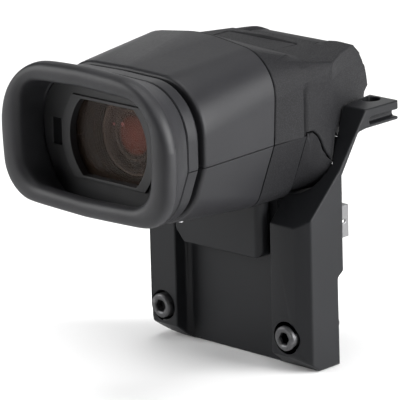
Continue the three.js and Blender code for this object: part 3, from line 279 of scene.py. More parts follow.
class Amount:
    """A value of a shader tree; sums and products of it add their own nodes."""

    def __init__(self, finish, socket):
        self.finish, self.socket = finish, socket

    def reckon(self, operation, first, second=0.0):
        node = self.finish.add("ShaderNodeMath", {"operation": operation}, {0: first, 1: second})
        return Amount(self.finish, node.outputs[0])

    def __add__(self, other):
        return self.reckon("ADD", self, other)

    def __sub__(self, other):
        return self.reckon("SUBTRACT", self, other)

    def __mul__(self, other):
        return self.reckon("MULTIPLY", self, other)

    def __radd__(self, other):
        return self.reckon("ADD", other, self)

    def __rsub__(self, other):
        return self.reckon("SUBTRACT", other, self)

    def __rmul__(self, other):
        return self.reckon("MULTIPLY", other, self)

    def ease(self, low, high):
        """0 below low, 1 above high and smooth between them."""
        node = self.finish.add(
            "ShaderNodeMapRange", {"interpolation_type": "SMOOTHSTEP"}, {0: self, 1: low, 2: high}
        )
        return Amount(self.finish, node.outputs[0])


class Finish:
    """A material and the nodes that colour it."""

    def __init__(self, name):
        self.material = bpy.data.materials.new(name)
        self.material.use_nodes = True
        self.tree = self.material.node_tree
        self.tree.nodes.clear()
        self.surface = self.add("ShaderNodeBsdfPrincipled")
        self.add("ShaderNodeOutputMaterial", None, {"Surface": self.surface.outputs[0]})
        self.place = self.add("ShaderNodeTexCoord").outputs["Object"]

    def add(self, kind, settings=None, inputs=None):
        """Adds one node, sets it up and feeds its sockets."""
        node = self.tree.nodes.new(kind)
        for key, value in (settings or {}).items():
            setattr(node, key, value)
        for key, value in (inputs or {}).items():
            self.feed(node.inputs[key], value)
        return node

    def feed(self, socket, value):
        """Links or sets one socket."""
        if isinstance(value, Amount):
            value = value.socket
        if isinstance(value, bpy.types.NodeSocket):
            self.tree.links.new(value, socket)
        elif socket.type == "RGBA" and len(value) == 3:
            socket.default_value = (*value, 1)
        else:
            socket.default_value = value

    def noise(self, scale, detail=3, stretch=None):
        """Noise with features of about 1 / scale metres."""
        where = self.place
        if stretch:
            drawn = self.add("ShaderNodeMapping", None, {"Vector": where, "Scale": stretch})
            where = drawn.outputs[0]
        inputs = {"Vector": where, "Scale": scale, "Detail": detail, "Roughness": 0.55}
        return Amount(self, self.add("ShaderNodeTexNoise", None, inputs).outputs[0])

    def cells(self, scale):
        """Distance to the nearest of scattered points about 1 / scale metres apart."""
        node = self.add("ShaderNodeTexVoronoi", None, {"Vector": self.place, "Scale": scale})
        return Amount(self, node.outputs["Distance"])

    def along(self, axis):
        """The place along one axis, in metres."""
        node = self.add("ShaderNodeSeparateXYZ", None, {0: self.place})
        return Amount(self, node.outputs[axis])

    def mix(self, factor, first, second):
        """A colour between two others."""
        node = self.add("ShaderNodeMix", {"data_type": "RGBA"}, {0: factor, 6: first, 7: second})
        return node.outputs[2]

    def tint(self, factor, rgb, dark, light):
        """Colours the surface between a darker and a lighter shade of one colour."""
        self.set(Base_Color=self.mix(factor, shade(rgb, dark), shade(rgb, light)))

    def relief(self, height, depth):
        """Raises the surface by the height times the depth."""
        node = self.add("ShaderNodeBump", None, {"Height": height, "Distance": depth})
        self.feed(self.surface.inputs["Normal"], node.outputs[0])

    def set(self, **inputs):
        """Feeds the surface's own sockets; an underscore stands for a space."""
        for key, value in inputs.items():
            self.feed(self.surface.inputs[key.replace("_", " ")], value)


def shade(rgb, share):
    """A colour made lighter or darker."""
    return tuple(min(1.0, c * share) for c in rgb)


def satin_finish(name, rgb):
    """Smooth satin paint with a faint orange peel."""
    finish = Finish(name)
    cloud, peel, fine = finish.noise(28, 2), finish.noise(900, 2), finish.noise(5200, 2)
    tone = (0.55 * cloud + 0.3 * peel + 0.15 * fine).ease(0.3, 0.7)
    finish.tint(tone, rgb, 0.88, 1.12)
    finish.set(Roughness=0.36 + 0.12 * tone, Specular_IOR_Level=0.17)
    finish.relief(peel + 0.4 * fine, 0.000006)
    return finish.material


def grained_finish(name, rgb, size=0.00042, depth=0.00003):
    """Fine-grained powder coat: small rounded grains with darker valleys."""
    finish = Finish(name)
    grains, fine, cloud = finish.cells(1 / size), finish.noise(2.4 / size, 2), finish.noise(24, 2)
    crown = (1.0 - grains).ease(0.35, 0.95)
    tone = (0.55 * crown + 0.25 * fine + 0.35 * cloud).ease(0.3, 0.85)
    finish.tint(tone, rgb, 0.72, 1.3)
    finish.set(Roughness=0.66 - 0.14 * crown, Specular_IOR_Level=0.17)
    finish.relief(0.8 * crown + 0.35 * fine, depth)
    return finish.material


def smooth_finish(name, rgb):
    """Dark paint on machined metal, almost smooth."""
    finish = Finish(name)
    cloud, fine = finish.noise(22, 3), finish.noise(4200, 2)
    tone = (0.7 * cloud + 0.3 * fine).ease(0.32, 0.7)
    finish.tint(tone, rgb, 0.85, 1.15)
    finish.set(Roughness=0.38 + 0.12 * tone, Specular_IOR_Level=0.19)
    finish.relief(fine, 0.000008)
    return finish.material


def rubber_finish(name, rgb):
    """Matte rubber with a fine skin and a little dust."""
    finish = Finish(name)
    skin, cloud, specks = finish.noise(3600, 3), finish.noise(60, 3), finish.noise(1500, 1)
    dust = (specks * cloud).ease(0.36, 0.5)
    base = finish.mix(cloud.ease(0.3, 0.7), shade(rgb, 0.85), shade(rgb, 1.15))
    finish.set(Base_Color=finish.mix(0.18 * dust, base, shade(rgb, 3)))
    finish.set(Roughness=0.42 + 0.14 * skin, Specular_IOR_Level=0.29)
    finish.relief(skin, 0.000018)
    return finish.material


def plastic_finish(name, rgb, rough=0.5):
    """Moulded plastic with a fine spark-eroded texture."""
    finish = Finish(name)
    spark, cloud = finish.noise(4600, 2), finish.noise(70, 2)
    finish.tint(cloud.ease(0.3, 0.7), rgb, 0.8, 1.3)
    finish.set(Roughness=rough + 0.16 * spark)
    finish.relief(spark, 0.000012)
    return finish.material


def gloss_finish(name, rgb):
    """Polished dark window plastic with faint wiping marks."""
    finish = Finish(name)
    marks = finish.noise(240, 3, stretch=(1, 1, 6))
    finish.tint(marks, rgb, 0.8, 1.4)
    finish.set(Roughness=0.06 + 0.07 * marks, Coat_Weight=0.5)
    return finish.material


def glass_finish(name, tint, coating):
    """Coated optical glass with the faintest unevenness."""
    finish = Finish(name)
    haze = finish.noise(160, 2)
    finish.set(Base_Color=finish.mix(haze, shade(tint, 0.94), tint), Roughness=0.01 + 0.02 * haze)
    finish.set(Transmission_Weight=1.0, IOR=1.5)
    finish.set(Specular_Tint=(*coating, 1), Specular_IOR_Level=0.7)
    return finish.material


def window_finish(name, tint):
    """The eyepiece's tinted window: a thin brown veil that lets the lens behind it show."""
    finish = Finish(name)
    haze = finish.noise(140, 2)
    finish.tint(haze, tint, 0.8, 1.15)
    finish.set(Alpha=0.46 + 0.06 * haze, Roughness=0.12, Specular_IOR_Level=0.12)
    return finish.material


def painted_light_lens_finish(name, painted_glow, height):
    """The first lens: black glass that glows with painted light: a painted reddish reflection in the
    middle, pale painted highlight rings, two painted glints, and painted shade inside the rings that
    grows lighter towards the top.
    """
    finish = Finish(name)
    across, up = finish.along(0), finish.along(2) - height

    def reach(x, z):
        squares = (across - x) * (across - x) + (up - z) * (up - z)
        return squares.reckon("POWER", squares, 0.5)

    # Painted highlight: a pale ring where light would catch the stepped edges behind the glass.
    def ring(radius, width):
        return away.ease(radius - width, radius) - away.ease(radius, radius + width)

    # Painted glint: a small bright spot of painted highlight.
    def spot(x, z, core, rim):
        return 1.0 - reach(x, z).ease(core, rim)

    away, haze = reach(0.0, 0.0), finish.noise(260, 2)
    inside = 1.0 - away.ease(0.0134, 0.0138)
    oval = 1.0 - away.ease(0.0058, 0.0072)
    # Painted highlight rings at three radii.
    rings = ring(0.013, 0.0005) + 0.6 * ring(0.0118, 0.0004) + 0.8 * ring(0.0083, 0.0006)
    # Two painted glints, reflections of lamps in the inner lenses.
    painted_glints = spot(-0.0054, 0.003, 0.0003, 0.0009) + spot(-0.009, 0.0026, 0.0002, 0.0007)
    # Painted shade inside the rings: near black outside them, lighter towards the top inside them, as if
    # lit from above.
    deep = finish.mix(inside * up.ease(-0.013, 0.012), (0.004, 0.003, 0.002), (0.062, 0.04, 0.034))
    # Painted reflection of the coating: a reddish glow in the middle, dimmer towards its edge.
    body = finish.mix(oval, deep, finish.mix(away.ease(0.0, 0.007), painted_glow, shade(painted_glow, 0.62)))
    body = finish.mix(0.7 * rings, body, (0.22, 0.17, 0.14))
    body = finish.mix(0.7 * painted_glints, body, (0.9, 0.35, 0.35))
    # All of this painted light is given as emission, so the lens glows though it is no lamp.
    finish.set(Emission_Color=body, Emission_Strength=1.0)
    finish.set(Base_Color=finish.mix(haze, (0.004, 0.003, 0.003), (0.008, 0.006, 0.005)))
    finish.set(Roughness=0.1 + 0.08 * haze, Specular_IOR_Level=0.12)
    return finish.material


def metal_finish(name, rgb, rough=0.3, stretch=(1, 1, 9)):
    """Bare metal with fine turning or drawing marks."""
    finish = Finish(name)
    marks, cloud = finish.noise(900, 3, stretch=stretch), finish.noise(180, 3)
    finish.tint(marks, rgb, 0.8, 1.12)
    finish.set(Roughness=rough + 0.14 * cloud, Metallic=1.0)
    finish.relief(marks, 0.000008)
    return finish.material


def screw_finish(name, rgb, worn):
    """Black oxide, rubbed brighter here and there."""
    finish = Finish(name)
    rub, fine = finish.noise(420, 3), finish.noise(2600, 2)
    bare = (0.7 * rub + 0.3 * fine).ease(0.5, 0.66)
    finish.set(Base_Color=finish.mix(0.55 * bare, rgb, worn))
    finish.set(Roughness=0.36 + 0.12 * fine, Metallic=0.7, Specular_IOR_Level=0.6)
    finish.relief(fine, 0.00001)
    return finish.material


def board_finish(name, rgb):
    """Solder-masked laminate over faint copper tracks."""
    finish = Finish(name)
    across, along = finish.along(0), finish.along(1) + finish.along(2)
    track = across.reckon("PINGPONG", across + 0.4 * along, 0.0008).ease(0.00035, 0.00045)
    finish.set(Base_Color=finish.mix(track, rgb, shade(rgb, 1.9)))
    finish.set(Roughness=0.42 + 0.1 * finish.noise(300))
    finish.relief(track, 0.00002)
    return finish.material


def floor_finish(name, rgb):
    """Seamless studio paper."""
    finish = Finish(name)
    finish.set(Base_Color=finish.mix(finish.noise(3, 2), shade(rgb, 0.99), rgb), Roughness=0.9)
    return finish.material


def recipes():
    """How each finish is made, by its name."""
    tones = bpy.context.scene.viewfinder.colours
    optics = bpy.context.scene.viewfinder.optics
    pale = shade(tones.steel, 0.4)
    return {
        "casing": lambda: satin_finish("casing_satin", tones.casing),
        "grained": lambda: grained_finish("housing_grain", tones.grained),
        "cradle": lambda: grained_finish("cradle_grain", tones.grained, 0.00036, 0.000022),
        "bracket": lambda: smooth_finish("bracket_paint", tones.bracket),
        "rubber": lambda: rubber_finish("cup_rubber", tones.rubber),
        "plastic": lambda: plastic_finish("inner_plastic", tones.plastic),
        "gloss": lambda: gloss_finish("window_gloss", shade(tones.plastic, 0.5)),
        "glass": lambda: glass_finish("optic_glass", (0.96, 0.93, 0.92), tones.coating),
        "window_glass": lambda: window_finish("window_glass", tones.veil),
        # The first lens with its painted reflections, highlights and shade.
        "painted_reflection_lens": lambda: painted_light_lens_finish("coated_lens", tones.painted_glow, optics.axis_height),
        "ring": lambda: plastic_finish("ring_plastic", shade(tones.plastic, 1.6), 0.3),
        "steel": lambda: metal_finish("bright_steel", tones.steel),
        "plug": lambda: metal_finish("plug_steel", pale, 0.34, (1, 8, 1)),
        "black_steel": lambda: screw_finish("screw_black", tones.black_steel, pale),
        "bronze": lambda: metal_finish("sleeve_bronze", tones.bronze, 0.36),
        "laminate": lambda: board_finish("board_laminate", tones.laminate),
        "floor": lambda: floor_finish("studio_floor", tones.floor),
    }


MADE = {}


def finish_named(name):
    """A finish, made when it is first asked for."""
    if name not in MADE:
        MADE[name] = recipes()[name]()
    return MADE[name]


def add_piece(shape, name, finish, nodes, smooth=40):
    """Turns a bmesh into a piece that stands for CAD nodes and rides on their body."""
    for face in shape.faces:
        face.smooth = True
    for edge in shape.edges:
        edge.smooth = not edge.is_manifold or edge.calc_face_angle() < math.radians(smooth)
    mesh = bpy.data.meshes.new(name)
    shape.to_mesh(mesh)
    shape.free()
    if not mesh.polygons:
        raise RuntimeError(f"{name} has no faces")
    piece = bpy.data.objects.new(name, mesh)
    bpy.context.scene.collection.objects.link(piece)
    mesh.materials.append(finish_named(finish))
    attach(piece, BODY_OF[nodes[0]])
    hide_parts(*nodes)
    return piece


def steady(piece):
    """Weights a piece's normals by its larger faces."""
    even = piece.modifiers.new("even_normals", "WEIGHTED_NORMAL")
    even.keep_sharp = True


def merged_copy(node):
    """A CAD node's shape with its loose triangles joined and its flats made whole."""
    shape = bmesh.new()
    shape.from_mesh(frame["nodes"][node].data)
    bmesh.ops.remove_doubles(shape, verts=shape.verts, dist=4e-6)
    bmesh.ops.dissolve_limit(
        shape, angle_limit=math.radians(1.2), use_dissolve_boundaries=False,
        verts=shape.verts, edges=shape.edges,
    )
    return shape


def eased(value, low, high):
    """0 below low, 1 above high and smooth between them."""
    share = min(1.0, max(0.0, (value - low) / (high - low)))
    return share * share * (3 - 2 * share)


def sliced(shape, point, direction, clear_inner=False):
    """Adds the edges where a plane crosses the form, and may clear what lies behind the plane."""
    everything = shape.verts[:] + shape.edges[:] + shape.faces[:]
    bmesh.ops.bisect_plane(
        shape, geom=everything, plane_co=point, plane_no=direction, clear_inner=clear_inner
    )


def halved(shape, point, direction):
    """Keeps what lies on one side of a plane and closes the cut."""
    sliced(shape, point, direction, clear_inner=True)
    bmesh.ops.holes_fill(shape, edges=[edge for edge in shape.edges if edge.is_boundary], sides=0)


def sharp_edges(shape, degrees):
    """Edges where two faces meet at more than the given angle."""
    limit = math.radians(degrees)
    return [edge for edge in shape.edges if edge.is_manifold and edge.calc_face_angle() > limit]


def round_edges(shape, edges, size, segments=2):
    """Rounds edges, each as far as its own surroundings allow."""
    bmesh.ops.bevel(
        shape, geom=edges, offset=size, offset_type="OFFSET", segments=segments, profile=0.5,
        affect="EDGES", material=-1, clamp_overlap=False, miter_outer="ARC", miter_inner="SHARP",
    )


def beside(edge, spots, reach):
    """Whether an edge passes within reach of one of the spots."""
    start, end = (vert.co for vert in edge.verts)
    for spot in spots:
        nearest, share = intersect_point_line(spot, start, end)
        if share < 0 or share > 1:
            nearest = start if share < 0 else end
        if (nearest - spot).length < reach:
            return True
    return False


def softened(node, size, degrees=SHARP_DEGREES, segments=2, prepare=None):
    """A CAD node's form with rounded edges; an edge stays sharp where its rounding would fold."""
    folded = []
    for _ in range(5):
        shape = merged_copy(node)
        if prepare:
            prepare(shape)
        edges = [
            edge for edge in sharp_edges(shape, degrees)
            if edge.calc_length() > size * 0.6 and not beside(edge, folded, size * 1.5)
        ]
        round_edges(shape, edges, size, segments)
        folds = sharp_edges(shape, FOLD_DEGREES)
        if not folds:
            break
        folded += [vert.co.copy() for edge in folds for vert in edge.verts]
    return shape


def round_low_corners(shape, size):
    """Rounds the corners at a form's lower end."""
    floor = min(vert.co.z for vert in shape.verts) + size
    low = [
        edge for edge in sharp_edges(shape, 60)
        if all(vert.co.z < floor for vert in edge.verts)
        and abs((edge.verts[0].co - edge.verts[1].co).y) > size
    ]
    round_edges(shape, low, size, 5)


def refined(node, finish, size, degrees=SHARP_DEGREES, segments=2, prepare=None):
    """A CAD node's form with softly rounded edges, kept inside the node's own box."""
    shape = softened(node, size, degrees, segments, prepare)
    low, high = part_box(node)
    for vert in shape.verts:
        vert.co = [min(max(place, start), end) for place, start, end in zip(vert.co, low, high)]
    steady(add_piece(shape, f"{node}_skin", finish, [node], SMOOTH_DEGREES))


def outline(shape, corners, y, steps):
    """Adds a closed outline of rounded corners (x, z, radius) in the plane y; returns its points."""
    verts = [shape.verts.new((x, y, z)) for x, z, _ in corners]
    shape.faces.new(verts)
    for i, (x, z, radius) in enumerate(corners):
        here = Vector((x, z))
        back = (Vector(corners[i - 1][:2]) - here).normalized()
        ahead = (Vector(corners[(i + 1) % len(corners)][:2]) - here).normalized()
        reach = radius / math.tan(back.angle(ahead) / 2)
        bmesh.ops.bevel(
            shape, geom=[verts[i]], offset=reach, offset_type="OFFSET", segments=steps, profile=0.5,
            affect="VERTICES", material=-1, clamp_overlap=False,
        )
    flat = [face for face in shape.faces if abs(face.calc_center_median().y - y) < 1e-7]
    face = max(flat, key=lambda face: len(face.verts))
    face.normal_update()
    points = list(face.verts) if face.normal.y < 0 else list(reversed(face.verts))
    start = points.index(max(points, key=lambda vert: vert.co.z))
    bmesh.ops.delete(shape, geom=[face], context="FACES_ONLY")
    return points[start:] + points[:start]


def bridge(shape, loops, closed=False):
    """Joins each outline to the next with a band of faces."""
    pairs = list(zip(loops, loops[1:]))
    if closed:
        pairs.append((loops[-1], loops[0]))
    for first, second in pairs:
        for i, (here, there) in enumerate(zip(first, second, strict=True)):
            shape.faces.new((first[i - 1], here, there, second[i - 1]))
    bmesh.ops.recalc_face_normals(shape, faces=shape.faces)


def between(first, second, share):
    """Corners that lie a share of the way from one outline to another."""
    return [
        tuple(a + (b - a) * share for a, b in zip(one, other))
        for one, other in zip(first, second)
    ]


def shrunk(half, inset):
    """The right half of an outline (top, shoulder, side, foot, bottom) moved inwards."""
    inwards = ((0, -1), (-1, -1), (-1, 0), (-1, 1), (0, 1))
    return [
        (x + dx * inset, z + dz * inset, max(radius - inset, 0.001))
        for (x, z, radius), (dx, dz) in zip(half, inwards)
    ]


def section(head, share, inset=0.0):
    """The head's section: share 0 at the casing's back, 1 at its front edge."""
    back = (
        (0, head.top, CROWN),
        (head.half_width, head.top - head.shoulder_drop, head.shoulder_radius),
        (head.belt_half_width, head.belt, 0.003),
        (head.foot_half_width, head.bottom + 0.0006, head.foot_radius),
        (0, head.bottom, CROWN),
    )
    front = (
        (0, head.front_top, CROWN),
        (head.front_half_width, head.front_top - head.front_drop, head.front_radius),
        (head.front_half_width, head.belt + 0.0004, 0.006),
        (head.front_foot_half_width, head.front_bottom + 0.0004, head.front_foot_radius),
        (0, head.front_bottom, CROWN),
    )
    return mirrored(shrunk(between(back, front, share), inset))


def tube(rings, steps):
    """A closed wall through rings of (corners, y): outside first, then back along the inside."""
    shape = bmesh.new()
    bridge(shape, [outline(shape, corners, y, steps) for corners, y in rings], closed=True)
    return shape


def slab(corners, front, back, steps):
    """A plate of the given outline between two places along y."""
    shape = bmesh.new()
    loops = [outline(shape, corners, y, steps) for y in (front, back)]
    bridge(shape, loops)
    for loop in loops:
        shape.faces.new(loop)
    bmesh.ops.recalc_face_normals(shape, faces=shape.faces)
    return shape


def rod(radius, start, end, steps=64):
    """A round bar from one point to another."""
    shape = bmesh.new()
    start, end = Vector(start), Vector(end)
    bmesh.ops.create_cone(
        shape, cap_ends=True, segments=steps, radius1=radius, radius2=radius,
        depth=(end - start).length,
    )
    turn = Vector((0, 0, 1)).rotation_difference(end - start).to_matrix()
    bmesh.ops.rotate(shape, verts=shape.verts, cent=(0, 0, 0), matrix=turn)
    bmesh.ops.translate(shape, verts=shape.verts, vec=(start + end) / 2)
    return shape


def brick(low, high):
    """A block between two corners."""
    shape = bmesh.new()
    low, high = Vector(low), Vector(high)
    bmesh.ops.create_cube(shape, size=1)
    bmesh.ops.scale(shape, verts=shape.verts, vec=high - low)
    bmesh.ops.translate(shape, verts=shape.verts, vec=(low + high) / 2)
    return shape


def window_block(optics, grow, rise, front, back):
    """A block with the window's outline, its round sides and its flats each moved outwards."""
    height = optics.axis_height
    shape = rod(optics.window_radius + grow, (0, front, height), (0, back, height), ROUND_STEPS)
    for side in (1, -1):
        flat = height + side * (optics.window_half_height + rise)
        halved(shape, (0, 0, flat), (0, 0, -side))
    return shape


def carved(shape, tool, operation="DIFFERENCE"):
    """Cuts one form out of another, or joins them."""
    things = []
    for form in (shape, tool):
        mesh = bpy.data.meshes.new("carving")
        form.to_mesh(mesh)
        form.free()
        things.append(bpy.data.objects.new("carving", mesh))
        bpy.context.scene.collection.objects.link(things[-1])
    cut = things[0].modifiers.new("cut", "BOOLEAN")
    cut.object, cut.operation, cut.solver = things[1], operation, "EXACT"
    result = bmesh.new()
    result.from_object(things[0], bpy.context.evaluated_depsgraph_get())
    for thing in things:
        bpy.data.objects.remove(thing)
    return result


def mirrored(half):
    """Corners of a symmetric outline from its right half, given from the top down."""
    return half + [(-x, z, radius) for x, z, radius in reversed(half[1:-1])]


def spun(profile, centre, steps=ROUND_STEPS):
    """A round piece spun about y from (radius, distance along y) points."""
    shape = bmesh.new()
    verts = [shape.verts.new(Vector((radius, y, 0)) + Vector(centre)) for radius, y in profile]
    edges = [shape.edges.new(pair) for pair in zip(verts, verts[1:])]
    bmesh.ops.spin(
        shape, geom=verts + edges, cent=centre, axis=(0, 1, 0), angle=math.tau, steps=steps,
        use_merge=True,
    )
    bmesh.ops.remove_doubles(shape, verts=shape.verts, dist=1e-7)
    bmesh.ops.recalc_face_normals(shape, faces=shape.faces)
    return shape


class VIEWFINDER_OT_eyecup(bpy.types.Operator):
    """Shapes the rubber eyecup ring by ring"""

    bl_idname = "viewfinder.eyecup"
    bl_label = "Eyecup"

    # Shares of the way from the mouth to the rim, each with its depth behind the rim's front
    LIP = (
        (1.0, 0.0034), (0.97, 0.0021), (0.9, 0.00105), (0.78, 0.00035), (0.6, 0.00002), (0.42, 0.00002),
        (0.26, 0.00025), (0.12, 0.0009), (0.03, 0.002), (0.0, 0.0034),
    )
    # Shares of the way along the flank, each with how far it has swollen towards the rim
    FLANK = (
        (0.03, 0), (0.28, 0.16), (0.5, 0.36), (0.72, 0.58), (0.88, 0.76), (0.97, 0.9), (1.05, 0.985),
    )

    def execute(self, context):
        cup, head = context.scene.viewfinder.cup, context.scene.viewfinder.head

        def oval(half_width, top, bottom, radius, low_radius):
            return mirrored([
                (0, top + cup.crown, CROWN),
                (half_width, top, radius),
                (half_width + cup.crown, (top + bottom) / 2, CROWN),
                (half_width, bottom, low_radius),
                (0, bottom - cup.crown, CROWN),
            ])

        rim = oval(cup.rim_half_width, cup.rim_top, cup.rim_bottom, cup.rim_radius, cup.rim_low_radius)
        mouth = oval(
            cup.mouth_half_width, cup.mouth_top, cup.mouth_bottom,
            cup.mouth_radius, cup.mouth_low_radius,
        )
        near, seat = section(head, 1, 0.0003), section(head, 1, 0.0028)
        depth = cup.flank_front - head.seam
        rings = [(section(head, 1, 0.0007), head.seam - HAIR)]
        rings += [(between(near, rim, swell), head.seam + depth * along) for along, swell in self.FLANK]
        rings += [(between(mouth, rim, share), cup.rim_front + behind) for share, behind in self.LIP]
        rings += [
            (between(mouth, seat, 0.12), -0.0775),
            (between(mouth, seat, 0.35), -0.0738),
            (between(mouth, seat, 0.6), cup.floor - 0.0006),
            (between(mouth, seat, 0.7), cup.floor),
            (seat, cup.floor),
            (seat, head.seam - HAIR),
        ]
        piece = add_piece(tube(rings, 6), "eyecup_rubber", "rubber", ["eyecup"], 80)
        soft = piece.modifiers.new("soft_skin", "SUBSURF")
        soft.levels = soft.render_levels = 2
        return {"FINISHED"}


class VIEWFINDER_OT_casings(bpy.types.Operator):
    """Lofts the casing with its groove and collar, parts it and sinks the dial's recess"""

    bl_idname = "viewfinder.casings"
    bl_label = "Casings"

    def execute(self, context):
        head = context.scene.viewfinder.head
        back, edge, seam, fine = head.casing_back, head.casing_edge, head.seam, head.seam_edge
        groove = edge - head.groove_width
        skin = [
            (section(head, (back - y) / (back - edge)), y)
            for y in (back - fine, -0.033, -0.042, -0.051, edge + 0.0015)
        ]
        rings = [(section(head, 0, fine), back), *skin]
        rings += [
            (section(head, 1, 0.0002), edge + 0.0006), (section(head, 1, 0.0006), edge + 0.0002),
            (section(head, 1, 0.0012), edge), (section(head, 1, head.groove_depth), edge),
            (section(head, 1, head.groove_depth), groove), (section(head, 1, 0.0009), groove),
            (section(head, 1, 0.0005), groove - 0.0003), (section(head, 1, 0.0004), groove - 0.0008),
            (section(head, 1, 0.0004), seam + 0.0004), (section(head, 1, 0.0008), seam + HAIR),
            (section(head, 1, head.groove_depth), seam + HAIR),
            (section(head, 1, head.groove_depth + head.wall), seam + HAIR),
            (section(head, 1, head.groove_depth + head.wall), edge),
            (section(head, 0, head.wall), back - 0.003), (section(head, 0, 0.0036), back - 0.0006),
            (section(head, 0, 0.0036), back + head.spigot),
            (section(head, 0, 0.0024), back + head.spigot),
            (section(head, 0, 0.0024), back),
        ]
        for node, side in (("upper_casing", 1), ("lower_casing", -1)):
            shape = tube(rings, 12)
            halved(shape, (0, 0, head.belt + side * head.belt_gap / 2), (0, 0, side))
            if side > 0:
                axis = [(x, head.dial_y, head.dial_height) for x in (-0.04, head.dial_seat, -0.0296)]
                shape = carved(shape, rod(head.dial_radius + head.wall, axis[1], axis[2]), "UNION")
                shape = carved(shape, rod(head.dial_radius, axis[0], axis[1]))
                shape = carved(shape, rod(0.0018, axis[0], (-0.028, *axis[2][1:]), 32))
            steady(add_piece(shape, f"{node}_shell", "casing", [node], 38))
        return {"FINISHED"}


class VIEWFINDER_OT_housings(bpy.types.Operator):
    """Rounds the rear housing, its ears, the cradle and the top panel"""

    bl_idname = "viewfinder.housings"
    bl_label = "Housings"

    # Where the ears are cut into strips: distances behind their front, and heights
    EAR_STRIPS = (-0.0003, 0.0002, 0.0009, 0.0018, 0.0028, 0.0041)
    EAR_HEIGHTS = (0.0725, 0.0755, 0.0785, 0.0815, 0.0837, 0.0859, 0.088)
    # The sunk part of an ear: how far out it begins, its length, the height where it fades
    EAR_SIDE, EAR_REACH, EAR_FADE = 0.0305, 0.0041, 0.0815
    CRADLE_STRIPS = (-0.0075, -0.0055, -0.0035, -0.0015, 0.0005)
    # Where the drawing in of the cradle's front ends and fades, and the depth where it is full
    PULL_END, PULL_FADE, PULL_DEPTH = 0.0024, 0.0034, 0.017
    # Corners of the wing beside the arm in millimetres, and its thickness
    WING = ((30.7, 4.4, 57.6), (28.0, 10.0, 64.6), (27.2, 11.8, 63.5), (29.9, 6.3, 56.4))
    WING_THICKNESS = 0.003

    def execute(self, context):
        head = context.scene.viewfinder.head
        self.rear_housing(head)
        self.cradle(head)
        for node in ("lower_rear_housing", "top_panel"):
            refined(node, "grained", head.seam_edge)
        return {"FINISHED"}

    def rear_housing(self, head):
        """Sinks the front of each ear beside the groove, so that it swells out behind it."""
        def sink_ears(shape):
            for y in self.EAR_STRIPS:
                sliced(shape, (0, head.ear_front + y, 0), (0, 1, 0))
            for z in self.EAR_HEIGHTS:
                sliced(shape, (0, 0, z), (0, 0, 1))
            for vert in shape.verts:
                behind = vert.co.y - head.ear_front
                high = 1 - eased(vert.co.z, self.EAR_FADE, head.ear_groove_top)
                near = abs(vert.co.x) > self.EAR_SIDE and 0 < behind < self.EAR_REACH
                if near and vert.co.z > head.belt - 0.001:
                    sink = head.ear_sink * (1 - eased(behind, -0.0006, self.EAR_REACH)) * high
                    vert.co.x -= math.copysign(sink, vert.co.x)

        refined("rear_housing", "grained", head.ear_edge, prepare=sink_ears)

    def cradle(self, head):
        """Draws the cradle's front in to the housing's section and closes the room beside the arm."""
        def draw_front_in(shape):
            for y in self.CRADLE_STRIPS:
                sliced(shape, (0, y, 0), (0, 1, 0))
            for vert in shape.verts:
                low = head.belt - vert.co.z
                if low > 0 and vert.co.y < self.PULL_END:
                    front = 1 - eased(vert.co.y, head.cradle_front, self.PULL_FADE)
                    vert.co.x *= 1 - head.cradle_pull * eased(low, 0, self.PULL_DEPTH) * front

        shape = softened("hinge_cradle", head.ear_edge * 0.6, prepare=draw_front_in)
        for side in (1, -1):
            verts = [shape.verts.new((side * x * MM, y * MM, z * MM)) for x, y, z in self.WING]
            wing = bmesh.ops.extrude_face_region(shape, geom=[shape.faces.new(verts)])["geom"]
            moved = [item for item in wing if isinstance(item, bmesh.types.BMVert)]
            bmesh.ops.translate(shape, verts=moved, vec=(-side * self.WING_THICKNESS, 0, 0))
        bmesh.ops.recalc_face_normals(shape, faces=shape.faces)
        steady(add_piece(shape, "hinge_cradle_skin", "cradle", ["hinge_cradle"], SMOOTH_DEGREES))


class VIEWFINDER_OT_bracket(bpy.types.Operator):
    """Rounds the edges of the bracket and the neck block"""

    bl_idname = "viewfinder.bracket"
    bl_label = "Bracket"

    def execute(self, context):
        bracket = context.scene.viewfinder.bracket
        refined("mount_bracket", "bracket", bracket.edge, 34, 3)
        corner = bracket.neck_corner
        refined(
            "neck_block", "bracket", bracket.edge,
            prepare=lambda shape: round_low_corners(shape, corner),
        )
        return {"FINISHED"}


